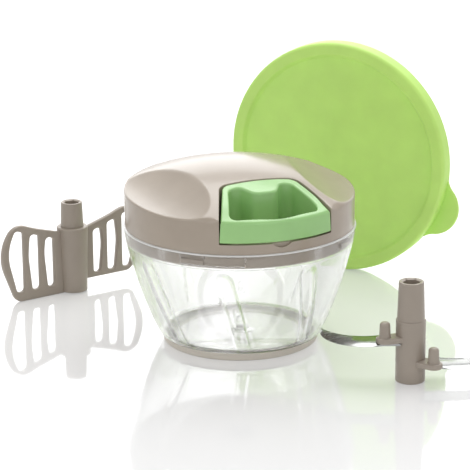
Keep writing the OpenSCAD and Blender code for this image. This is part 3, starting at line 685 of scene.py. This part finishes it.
def bowl_mesh():
    """The clear bowl: one lathed skin, with its flutes and bayonet slots sunk in it."""
    outer = [tuple(bezier(BOWL_CURVE, i / BOWL_STEPS)) for i in range(BOWL_STEPS + 1)]
    inner = [(r - BOWL_WALL, z) for r, z in outer if BOWL_FLOOR + CORNER_TOP < z < SEAT_Z - EASE]
    corner = [(inner[0][0] - CORNER_OUT + CORNER_OUT * s, BOWL_FLOOR + CORNER_UP * s ** CORNER_POWER)
              for s in np.linspace(0, CORNER_END, CORNER_STEPS)]
    base = [(0, BOWL_LOW), (BASE_RING, BOWL_LOW), (SPIGOT_R - EASE, BOWL_LOW), (SPIGOT_R, BOWL_LOW + EASE),
            (SPIGOT_R, SPIGOT_TOP), (SPIGOT_R + SPIGOT_OUT, BOWL_FLOOR)]
    rim = [(RIM_R, RIM_Z - RIM_ROUND), (RIM_R - RIM_TURN_IN, RIM_Z - RIM_TURN_IN),
           (RIM_R - RIM_ROUND, RIM_Z), (SEAT_R + EASE, RIM_Z), (SEAT_R, RIM_Z - EASE)]
    seat = [(SEAT_R, z) for z in (*SEAT_RINGS, SLOT_Z + HAIR, SLOT_Z - HAIR, SEAT_Z + SEAT_EASE)]
    shelf = [(SEAT_R - SEAT_EASE, SEAT_Z), (inner[-1][0] + SHELF_OUT, SEAT_Z - SHELF_DROP)]
    floor_rings = [(r, BOWL_FLOOR) for r in BOWL_FLOOR_RINGS]
    pin = [(COLLAR_R + COLLAR_FOOT_OUT, BOWL_FLOOR), (COLLAR_R, BOWL_FLOOR + COLLAR_FOOT_UP),
           (COLLAR_R, COLLAR_Z - COLLAR_EASE), (COLLAR_R - COLLAR_EASE, COLLAR_Z),
           (PIN_R + EASE, COLLAR_Z), (PIN_R, COLLAR_Z + EASE)]
    pin += [(PIN_R - inset, PIN_TOP - drop) for inset, drop in PIN_TIP] + [(0, PIN_TOP)]
    profile = base + outer[:-1] + rim + seat + shelf + inner[::-1] + corner[::-1] + floor_rings + pin
    verts, faces = lathe(profile, BOWL_SIDES, False)
    r = np.hypot(verts[:, 0], verts[:, 1])
    turn = np.arctan2(verts[:, 0], -verts[:, 1])
    z = verts[:, 2]
    wall = (r > WALL_FROM_R) & (z > WALL_FROM_Z)
    new = open_slots(np.where(wall, r - flute_depth(turn, z), r), r, turn, z)
    verts[:, :2] *= np.where(r > TINY, new / np.maximum(r, TINY), 1.0)[:, None]
    return verts, faces


def foot_mesh():
    """The soft ring round the bowl's foot."""
    outline = [(FOOT_IN, 0), (FOOT_R, 0), (FOOT_R, FOOT_TOP), (FOOT_LIP_R, FOOT_TOP),
               (FOOT_LIP_R, BOWL_LOW), (FOOT_IN, BOWL_LOW)]
    return lathe(rounded(outline, FOOT_ROUNDS), FOOT_SIDES)


make("bowl_wall", bowl_mesh(), bowl_clear, "bowl", ["bowl"], SHARP_SHELL)
make("foot_band", foot_mesh(), taupe_soft, "bowl", ["foot_ring"])


# Lid cover

def lower(a, b, soft):
    """The lower of two heights, with a soft change from one to the other."""
    h = np.clip(0.5 + 0.5 * (b - a) / soft, 0, 1)
    return b + (a - b) * h - soft * h * (1 - h)


def lid_height(x, y):
    """Height of the lid's outside over the plan: the dome with its two finger scoops."""
    z = DOME_Z + np.sqrt(np.maximum(DOME_R ** 2 - x * x - (y - DOME_BACK) ** 2, 1.0))
    for side in (-1, 1):
        turn = math.radians(side * SCOOP_TURN)
        u = x * math.sin(turn) - y * math.cos(turn)
        v = side * (x * math.cos(turn) + y * math.sin(turn))
        trough = SCOOP_Z + SCOOP_RISE * v - np.sqrt(np.maximum(SCOOP_R ** 2 - (u - SCOOP_OUT) ** 2, 0.0))
        z = lower(z, trough, CREST_SOFT)
    return z


def pocket_path(grow, radius):
    """The handle pocket's plan inside a circle, from its left front corner round to its right."""
    back, front = grow - HANDLE_BACK, -LID_R - grow
    corners = []
    for side, (back_w, front_w) in ((-1, HANDLE_LEFT), (1, HANDLE_RIGHT)):
        a, b = np.array([side * (back_w + grow), back]), np.array([side * (front_w + grow), front])
        d = b - a
        k = (-(a @ d) + math.sqrt((a @ d) ** 2 - (d @ d) * (a @ a - radius * radius))) / (d @ d)
        corners.append((tuple(a + d * k), tuple(a)))
    loop = rounded([corners[0][0], corners[0][1], corners[1][1], corners[1][0]],
                   [0, HANDLE_CORNER + grow, HANDLE_CORNER + grow, 0], POCKET_STEPS)
    return dense(loop, PLAN_STEP, closed=False)


def disc_grid(radius, spacing):
    """Points spread evenly over a disc, in rings."""
    grid = [(0.0, 0.0)]
    for k in range(1, int(radius / spacing) + 1):
        count = int(2 * math.pi * k)
        grid += arc_points(k * spacing, [2 * math.pi * (i + 0.5 * (k % 2)) / count for i in range(count)])
    return np.array(grid)


def curtain(ring, heights):
    """An open strip from a ring of points down to each height in turn."""
    return strip([ring] + [np.column_stack([ring[:, :2], np.full(len(ring), h)]) for h in heights], False)


def dished(radius, grow, drop, floor, low, edge, pocket_edge, spacing):
    """One skin of the lid cover: its top with the pocket sunk in it, its wall, and its lower rim."""
    pocket = pocket_path(grow, radius)
    a0, a1 = turn_of(pocket[-1]), turn_of(pocket[0]) + 2 * math.pi
    turns = np.linspace(a0, a1, LID_ARC_STEPS)
    arc = arc_points(radius, turns)
    loop = arc[:-1] + pocket[:-1]
    split = len(arc) - 1
    near = np.minimum(turns - a0, a1 - turns)[:-1] * radius
    from_front = np.abs(np.degrees(np.arctan2(np.cos(turns), -np.sin(turns))))[:-1]
    wall_edge = edge * np.interp(from_front, EDGE_TURNS, EDGE_SHARES)
    taper = soft_step(np.clip(near / EDGE_TAPER, 0, 1))
    edges = np.concatenate([pocket_edge + (wall_edge - pocket_edge) * taper,
                            np.full(len(pocket) - 1, pocket_edge)])

    def top(x, y):
        return lid_height(x, y) - drop

    rings = []
    for a in np.linspace(0, math.pi / 2, EDGE_STEPS if edge else 1):
        ring = lift(offset(loop, edges * (1 - math.cos(a))), top)
        ring[:, 2] -= edges * (1 - math.sin(a))
        rings.append(ring)
    cap_loop = [tuple(p) for p in rings[-1][:, :2]]
    grid = disc_grid(radius, spacing)
    grid = grid[inside(grid, [cap_loop]) & clear_of(grid, [cap_loop], spacing * SPACING_CLEAR)]
    flat, tris = fill([cap_loop], [tuple(p) for p in grid])
    parts = [(lift(flat, top), tris)]
    if len(rings) > 1:
        parts.append(strip(rings))
    parts.append(curtain(rings[0][:split + 1], (floor, low)))
    parts.append(curtain(np.concatenate([rings[0][split:], rings[0][:1]]), (floor,)))
    front = arc_points(radius, np.linspace(turn_of(pocket[0]), a0, FRONT_STEPS))
    flat, tris = fill([front[:-1] + pocket[::-1][:-1]])
    parts.append((lift(flat, floor), tris))
    parts.append(curtain(lift(front, floor), (low,)))
    return join(*parts), lift(arc[:-1] + front[:-1], low)


def lid_mesh():
    """The lid cover's outer and inner skins, joined by a rim with a rounded lower edge."""
    outer, outer_rim = dished(LID_R, POCKET_GAP, 0.0, POCKET_Z, LID_LOW + LIP,
                              LID_EDGE, POCKET_EDGE, OUTER_SPACING)
    inner, inner_rim = dished(LID_R - LID_WALL, POCKET_GAP + POCKET_WALL, LID_WALL + LID_TOP_EXTRA,
                              POCKET_Z - POCKET_WALL, LID_LOW, 0.0, 0.0, INNER_SPACING)
    lip = []
    for a in np.linspace(0, math.pi / 2, LIP_STEPS):
        ring = outer_rim.copy()
        ring[:, :2] *= 1 - LIP * (1 - math.cos(a)) / LID_R
        ring[:, 2] = LID_LOW + LIP - LIP * math.sin(a)
        lip.append(ring)
    outer_loop = [tuple(p) for p in lip[-1][:, :2]]
    inner_loop = [tuple(p) for p in inner_rim[:, :2]]
    flat, tris = fill([outer_loop, inner_loop])
    return join(outer, inner, strip(lip), (lift(flat, LID_LOW), tris))


lid = make("lid_dome", lid_mesh(), taupe_gloss, "lid", ["lid_cover"], SHARP_SHELL)
notch = rod((0, -LID_R + NOTCH_DEPTH, NOTCH_Z), (0, -LID_R - NOTCH_OUT, NOTCH_Z), NOTCH_R, NOTCH_SIDES)
cut(lid, notch, SHARP_SHELL)
cut(lid, rod((0, EYELET_FROM, LEAD_Z), (0, EYELET_TO, LEAD_Z), EYELET_BORE, BORE_SIDES), SHARP_SHELL)


# Pull handle

def handle_top(x, y):
    """Height of the handle's top: a little under the lid's, and lower along its nose."""
    ahead = np.clip((np.hypot(x, y) - NOSE_FROM) / NOSE_RUN, 0, 1)
    return lid_height(x, y) - HANDLE_SINK - NOSE_DROP * soft_step(ahead)


def handle_mesh():
    """The handle's bar round its finger hole, slightly wider below than above."""
    outer = pocket_path(0.0, HANDLE_R)
    front = arc_points(HANDLE_R, np.linspace(turn_of(outer[0]), turn_of(outer[-1]), HANDLE_FRONT_STEPS))
    outline = front[:-1] + outer[::-1][:-1]
    hole = dense(rounded(FINGER_HOLE, FINGER_ROUNDS, FINGER_STEPS), FINGER_STEP)
    at_front = [math.hypot(x, y) > HANDLE_FRONT_R for x, y in outline]
    edge = np.where(at_front, HANDLE_FRONT_EDGE, HANDLE_EDGE)
    for _ in range(EDGE_BLENDS):
        edge = (np.roll(edge, 1) + edge + np.roll(edge, -1)) / 3
    grid = [(x, y) for x in np.arange(*HANDLE_GRID_X, HANDLE_GRID_STEP)
            for y in np.arange(*HANDLE_GRID_Y, HANDLE_GRID_STEP)]
    verts, faces = slab([outline, hole], handle_top, HANDLE_LOW, [edge, HOLE_EDGE], HANDLE_EDGE,
                        grid, HANDLE_STEPS)
    verts[:, 0] *= 1 + HANDLE_LEAN * (LEAN_Z - verts[:, 2]) / LEAN_SPAN
    return verts, faces


handle = make("handle_grip", handle_mesh(), green_gloss, "handle", ["pull_handle"],
              SHARP_SHELL)
knot_bore = rod((0, POST_Y, HANDLE_LOW - KNOT_BELOW), (0, POST_Y, KNOT_TOP), KNOT_ROOM, BORE_SIDES)
cut(handle, knot_bore, SHARP_SHELL)
cord_bore = rod((0, POST_Y, LEAD_Z), (0, CORD_BORE_BACK - HANDLE_BACK, LEAD_Z),
                CORD_R + CORD_ROOM, CORD_BORE_SIDES)
cut(handle, cord_bore, SHARP_SHELL)


def cord_mesh():
    """The cord from the eyelet to the handle's post, in many rings."""
    section = arc_points(CORD_R, np.linspace(0, 2 * math.pi, CORD_SIDES, endpoint=False), (0.0, LEAD_Z))
    along = np.linspace(CORD_FROM, CORD_TO, CORD_RINGS)
    verts, faces = strip([[(x, y, z) for x, z in section] for y in along])
    return verts, faces + end_faces(len(verts), CORD_SIDES)


pull_cord = make("pull_cord", cord_mesh(), cord_braid, None, ["cord_tail"])
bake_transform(pull_cord)


# Blade insert

def hexagon_socket(verts):
    """Turn the round socket wall of a lathed hub into a hexagon."""
    r = np.hypot(verts[:, 0], verts[:, 1])
    a = np.degrees(np.arctan2(verts[:, 1], verts[:, 0]))
    six = SOCKET_FLAT / np.cos(np.radians((a + 360) % 60 - 30))
    wall = (np.abs(r - SOCKET_FLAT) < NEAR) & (verts[:, 2] > SOCKET_LOW - NEAR)
    verts[:, :2] *= np.where(wall, six / np.maximum(r, TINY), 1.0)[:, None]
    return verts


def hub_mesh(points, rounds):
    """A hub with an outside profile, rounded at all but its ends, a bore below and a socket above."""
    profile = [(0, BORE_TOP), (BORE_R, BORE_TOP), (BORE_R, EASE), (BORE_R + EASE, 0)]
    profile += rounded(points, [0, *rounds, 0])
    profile += [(SOCKET_FLAT + SOCKET_MOUTH, HUB_TOP), (SOCKET_FLAT, HUB_TOP - SOCKET_EASE),
                (SOCKET_FLAT, SOCKET_LOW), (0, SOCKET_LOW)]
    verts, faces = lathe(profile, HUB_SIDES, False)
    return hexagon_socket(verts), faces


def arm_mesh(top, turn):
    """A flat arm with a round end and a finger peg on it."""
    loop = arc_points(ARM_HALF, np.linspace(-math.pi / 2, math.pi / 2, ARM_STEPS), (ARM_END - ARM_HALF, 0.0))
    loop += [(ARM_ROOT, ARM_HALF), (ARM_ROOT, -ARM_HALF)]
    plate = slab([dense(loop, ARM_STEP)], top, top - ARM_T, ARM_TOP_EDGE, ARM_LOW_EDGE)
    tip = arc_points(PEG_ROUND, np.linspace(PEG_TURN, math.pi / 2, PEG_STEPS), (PEG_CROWN, PEG_TOP))
    peg = lathe([(0, PEG_SINK), *PEG_FOOT, *tip, (0, PEG_TOP + PEG_ROUND)], PEG_SIDES, False)
    button = place(peg, Matrix.Translation((PEG_AT, 0, top)))
    return place(join(plate, button), Matrix.Rotation(math.radians(turn), 4, "Z"))


def blade_hub_mesh():
    """The blade insert's hub with its two arms."""
    return join(hub_mesh(BLADE_HUB, BLADE_HUB_ROUNDS), *(arm_mesh(top, turn) for top, turn in ARMS))


def blade_stations():
    """Back point, edge point and share of grinding, from the blade's root to its tip."""
    first, last = BLADE_ROOT
    stations = []
    for x in np.linspace(first, last, ROOT_STEPS):
        taper = BLADE_TAPER * (x - first) / (last - first)
        stations.append((np.array((x, BLADE_HALF)), np.array((x, taper - BLADE_HALF)), 0.0))
    for u in np.linspace(0.0, BLADE_END, BLADE_STEPS):
        edge, back = (np.array(arc_points(radius, [math.radians(start + (end - start) * u)], centre)[0])
                      for centre, radius, start, end in (BLADE_EDGE, BLADE_BACK))
        pull = BLUNT_PULL * max(0.0, (u - BLUNT_FROM) / BLUNT_RUN) ** 2
        mid = (edge + back) / 2
        stations.append((back + (mid - back) * pull, edge + (mid - edge) * pull, min(1.0, u / GRIND_RUN)))
    return stations


def blade_mesh(top, mirror):
    """A curved blade, ground thin along its convex edge."""
    low = top - BLADE_T
    side = -1 if mirror else 1
    rings = []
    for back, edge, grind in blade_stations():
        bevel = grind * min(BEVEL_MOST, BEVEL_W / max(np.linalg.norm(edge - back), TIP_W))
        thin = BEVEL_DROP * grind
        rows = [(0.0, low + SPINE_EASE), (0.0, top - SPINE_EASE), (SPINE_SHARE, top), (1 - bevel, top),
                (1 - bevel * 0.5, top - thin), (1.0, top - 2 * thin), (1.0, low + EDGE_LAND),
                (1 - SPINE_SHARE, low), (SPINE_SHARE, low)]
        across = [(back + (edge - back) * share, z) for share, z in rows]
        rings.append([(side * p[0], p[1], z) for p, z in across])
    verts, faces = strip(rings)
    return verts, faces + end_faces(len(verts), len(rings[0]))


blade_place = at(BLADE_AT, BLADE_TURN)
make("blade_holder", place(blade_hub_mesh(), blade_place), taupe_satin, "blade_insert", ["blade_hub"],
     SHARP_HUB)
make("blade_top", place(blade_mesh(UPPER_BLADE_Z, True), blade_place), blade_steel, "blade_insert",
     ["upper_blade"], SHARP_STEEL)
make("blade_low", place(blade_mesh(LOWER_BLADE_Z, False), blade_place), blade_steel, "blade_insert",
     ["lower_blade"], SHARP_STEEL)


# Mixing paddle

def wing_mesh(low):
    """A paddle wing from a height upwards, with three slots that follow its outer edge."""
    root, base = SLEEVE_IN + WING_BITE, SLOT_BASE + SLOT_FOLLOW * low
    corners = [(root, low), (WING_LOW_X, low), WING_FAR, WING_TOP, WING_DIP, (root, WING_IN_Z)]
    loop = rounded(corners, WING_ROUNDS, WING_STEPS)

    def cap(x):
        share = (x - root) / (WING_TOP[0] - root)
        return WING_IN_Z + (WING_TOP[1] - WING_IN_Z) * share - SLOT_CAP

    holes = []
    for *shares, bend_z, bend in WING_SLOTS:
        a, b, c, d = (WING_LOW_X * share for share in shares)
        slot = rounded([(a, base), (b, base), (c, bend_z), (d, cap(d)), (a, cap(a))],
                       [SLOT_LOW_ROUND, SLOT_LOW_ROUND, bend, SLOT_OUT_ROUND, SLOT_IN_ROUND], SLOT_STEPS)
        holes.append(dense(slot, PLATE_STEP)[::-1])
    plate = slab([dense(loop, PLATE_STEP)] + holes, WING_HALF, -WING_HALF, WING_EDGE, WING_EDGE)
    return place(plate, Matrix.Rotation(math.radians(90), 4, "X"))


def paddle_mesh():
    """The paddle's sleeve with its raised wing and its low wing."""
    outline = [(SLEEVE_IN, SLEEVE_LOW), (SLEEVE_LOW_R, SLEEVE_LOW),
               (SLEEVE_R, PADDLE_STEP), (SLEEVE_IN, PADDLE_STEP)]
    sleeve = lathe(rounded(outline, SLEEVE_ROUNDS), HUB_SIDES)
    low_wing = place(wing_mesh(0.0), Matrix.Rotation(math.pi, 4, "Z"))
    return join(sleeve, wing_mesh(WING_LIFT), low_wing)


paddle_hub = hub_mesh(PADDLE_HUB, PADDLE_HUB_ROUNDS)
make("paddle_core", place(paddle_hub, at(PADDLE_AT)), taupe_satin, "paddle_insert",
     ["paddle_hub"], SHARP_HUB)
make("paddle_blades", place(paddle_mesh(), at(PADDLE_AT, PADDLE_TURN)), taupe_satin, "paddle_insert",
     ["paddle_wings"], SHARP_HUB)


# Storage lid

def cap_mesh():
    """The storage lid's disc: a sunk panel, an outer wall and a lip inside it that grips the rim."""
    wall_r, lip_r, under = CAP_R - CAP_WALL, GRIP_R - CAP_WALL, -PANEL_SINK - CAP_WALL
    outline = [(0, -PANEL_SINK), (PANEL_RING, -PANEL_SINK), (PANEL_R, -PANEL_SINK), (BORDER_R, 0), (CAP_R, 0),
               (CAP_R, -CAP_DEPTH), (wall_r, -CAP_DEPTH), (wall_r, -CAP_WALL), (GRIP_R, -CAP_WALL),
               (GRIP_R, -GRIP_DEPTH), (lip_r, -GRIP_DEPTH), (lip_r, -CAP_WALL), (UNDER_OUT_R, -CAP_WALL),
               (UNDER_IN_R, under), (0, under)]
    return lathe(rounded(outline, CAP_ROUNDS), CAP_SIDES, False)


def tab_mesh():
    """The pull tab, a round end with flanks that run out along the rim."""
    reach, near = CAP_R + TAB_FLANK, TAB_R + TAB_FLANK
    x = (reach ** 2 - near ** 2 + TAB_OUT ** 2) / (2 * TAB_OUT)
    y = math.sqrt(reach ** 2 - x ** 2)
    tip, root = turn_of((x - TAB_OUT, y)), turn_of((x, y))
    end = arc_points(TAB_R, np.linspace(-tip, tip, TAB_STEPS), (TAB_OUT, 0.0))
    turns = np.linspace(tip + math.pi, root + math.pi + FLANK_STOP, FLANK_STEPS)[1:]
    flank = arc_points(TAB_FLANK, turns, (x, y))
    inner = turn_of(flank[-1])
    arc = arc_points(TAB_ROOT, np.linspace(inner, -inner, ROOT_ARC_STEPS))
    loop = end + flank + arc + [(px, -py) for px, py in reversed(flank)]
    plate = slab([dense(loop, PLATE_STEP)], TAB_TOP, TAB_LOW, TAB_EDGE, TAB_EDGE)
    return place(plate, Matrix.Rotation(math.radians(TAB_TURN), 4, "Z"))


cap_place = at(CAP_AT, CAP_TURN) @ Matrix.Rotation(math.radians(90), 4, "Y")
make("storage_cap", place(join(cap_mesh(), tab_mesh()), cap_place), lime_soft, "storage_lid", ["storage_lid"],
     SHARP_HUB)


# Finishes of the CAD pieces that stay

KEPT = (
    (taupe_satin, ("lid_base",)),
    (white_plastic, ("shaft_bush", "spring_cover", "cord_reel")),
    (dark_plastic, ("drive_shaft",)),
    (spring_steel, ("lid_screws", "return_spring", "cord_eyelet", "drive_screw", "reel_washer")),
    (cord_braid, ("cord_lead", "cord_winding", "cord_knot")),
)
for material, names in KEPT:
    for name in names:
        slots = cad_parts[name].data.materials
        slots.clear()
        slots.append(material)


# Floor, light and camera

# The mirror image's strength on the floor, from the back to the front along a level direction
MIRROR, MIRROR_FRONT = 0.42, 0.02
FADE_ALONG, FADE_FRONT, FADE_BACK = (0.3535, 0.9354, 0.0), -0.24, -0.07
# How far the floor is lifted to white where it is seen, and where it is seen through the bowl
GLOW, GLOW_THROUGH = 0.33, 0.62
FLOOR_HALF, FLOOR_DROP = 4.0, 0.0001
FLOOR_LOW, FLOOR_HIGH = (0.93, 0.93, 0.93, 1), (0.95, 0.95, 0.95, 1)
FLOOR_SCALE, FLOOR_ROUGH, MIRROR_ROUGH = 4.0, 0.6, 0.05
SKY = 0.5


def seen_rays(nodes, links):
    """One for rays that the camera sees, straight, mirrored or through the clear bowl."""
    path = nodes.new("ShaderNodeLightPath")
    total = path.outputs["Is Camera Ray"]
    for ray in ("Is Transmission Ray", "Is Glossy Ray"):
        total = calculate(nodes, links, "MAXIMUM", total, path.outputs[ray])
    return total


def floor_material():
    """A white glossy table whose mirror image fades towards the front."""
    mat, nodes, links, bsdf = new_material("studio_floor")
    tone = ramp(nodes, links, grain(nodes, links, FLOOR_SCALE), FLOOR_LOW, FLOOR_HIGH)
    links.new(tone, bsdf.inputs["Base Color"])
    put(bsdf, {"Roughness": FLOOR_ROUGH, "Specular IOR Level": 0.0})
    mirror = put(nodes.new("ShaderNodeBsdfGlossy"), {"Color": WHITE, "Roughness": MIRROR_ROUGH})
    coords = nodes.new("ShaderNodeTexCoord")
    depth = nodes.new("ShaderNodeVectorMath")
    depth.operation = "DOT_PRODUCT"
    depth.inputs[1].default_value = FADE_ALONG
    links.new(coords.outputs["Object"], depth.inputs[0])
    fade = map_range(nodes, links, depth.outputs["Value"], FADE_FRONT, FADE_BACK, MIRROR_FRONT, MIRROR)
    glossy = blend_shaders(nodes, links, fade, bsdf.outputs["BSDF"], mirror.outputs["BSDF"])
    glow = put(nodes.new("ShaderNodeEmission"), {"Color": WHITE, "Strength": 1.0})
    path = nodes.new("ShaderNodeLightPath")
    seen = calculate(nodes, links, "MULTIPLY", seen_rays(nodes, links), GLOW)
    through = path.outputs["Is Transmission Ray"]
    lifted = calculate(nodes, links, "MULTIPLY_ADD", through, GLOW_THROUGH - GLOW, seen)
    surface = blend_shaders(nodes, links, lifted, glossy, glow.outputs["Emission"])
    links.new(surface, nodes["Material Output"].inputs["Surface"])
    return mat


floor_corners = [(x * FLOOR_HALF, y * FLOOR_HALF, 0) for x, y in ((-1, -1), (1, -1), (1, 1), (-1, 1))]
floor_mesh = bpy.data.meshes.new("floor")
floor_mesh.from_pydata(floor_corners, [], [(0, 1, 2, 3)])
floor_mesh.materials.append(floor_material())
floor = bpy.data.objects.new("floor", floor_mesh)
floor.location.z = -FLOOR_DROP
scene.collection.objects.link(floor)

world = bpy.data.worlds.new("studio")
scene.world = world
world.use_nodes = True
w_nodes, w_links = world.node_tree.nodes, world.node_tree.links
sky = put(w_nodes["Background"], {"Color": WHITE, "Strength": SKY})
white = put(w_nodes.new("ShaderNodeBackground"), {"Color": WHITE, "Strength": 1.0})
backdrop = blend_shaders(w_nodes, w_links, seen_rays(w_nodes, w_links), sky.outputs["Background"],
                         white.outputs["Background"])
w_links.new(backdrop, w_nodes["World Output"].inputs["Surface"])


def softbox(name, position, target, size, power):
    """A rectangular lamp that points at a target, in metres and watts."""
    lamp = bpy.data.lights.new(name, "AREA")
    lamp.shape = "RECTANGLE"
    lamp.size, lamp.size_y = size
    lamp.energy = power
    obj = bpy.data.objects.new(name, lamp)
    obj.location = position
    obj.rotation_euler = (Vector(target) - Vector(position)).to_track_quat("-Z", "Y").to_euler()
    scene.collection.objects.link(obj)


softbox("top_box", (0.3, 0.45, 1.25), (0, 0, 0.05), (1.2, 1.2), 13.8)
softbox("back_box", (0.46, 1.22, 0.45), (0, 0, 0.08), (1.6, 0.6), 4.4)
softbox("left_box", (-1.2, -0.5, 0.7), (0, 0, 0.05), (0.8, 0.8), 1.8)
softbox("front_box", (0.2, -1.5, 0.9), (0, 0, 0.05), (1.0, 0.6), 1.8)

AZIMUTH, OUT, ASIDE, HEIGHT = -20.7, 1.094, 0.0025, 0.378
PITCH, ROLL, FOCAL_PX, FRAME_PX, SENSOR = 16.45, 0.5, 2200.0, 470.0, 36.0
CLIP = (0.05, 20.0)
turn = math.radians(AZIMUTH)
cam = bpy.data.cameras.new("photo_view")
cam.sensor_width = SENSOR
cam.lens = FOCAL_PX / FRAME_PX * SENSOR
cam.clip_start, cam.clip_end = CLIP
camera = bpy.data.objects.new("photo_view", cam)
camera.location = (math.sin(turn) * OUT - math.cos(turn) * ASIDE,
                   -math.cos(turn) * OUT - math.sin(turn) * ASIDE, HEIGHT)
camera.rotation_euler = (Matrix.Rotation(turn, 3, "Z") @ Matrix.Rotation(math.radians(90 - PITCH), 3, "X")
                         @ Matrix.Rotation(math.radians(-ROLL), 3, "Z")).to_euler()
scene.collection.objects.link(camera)
scene.camera = camera
scene.view_settings.view_transform = "Standard"
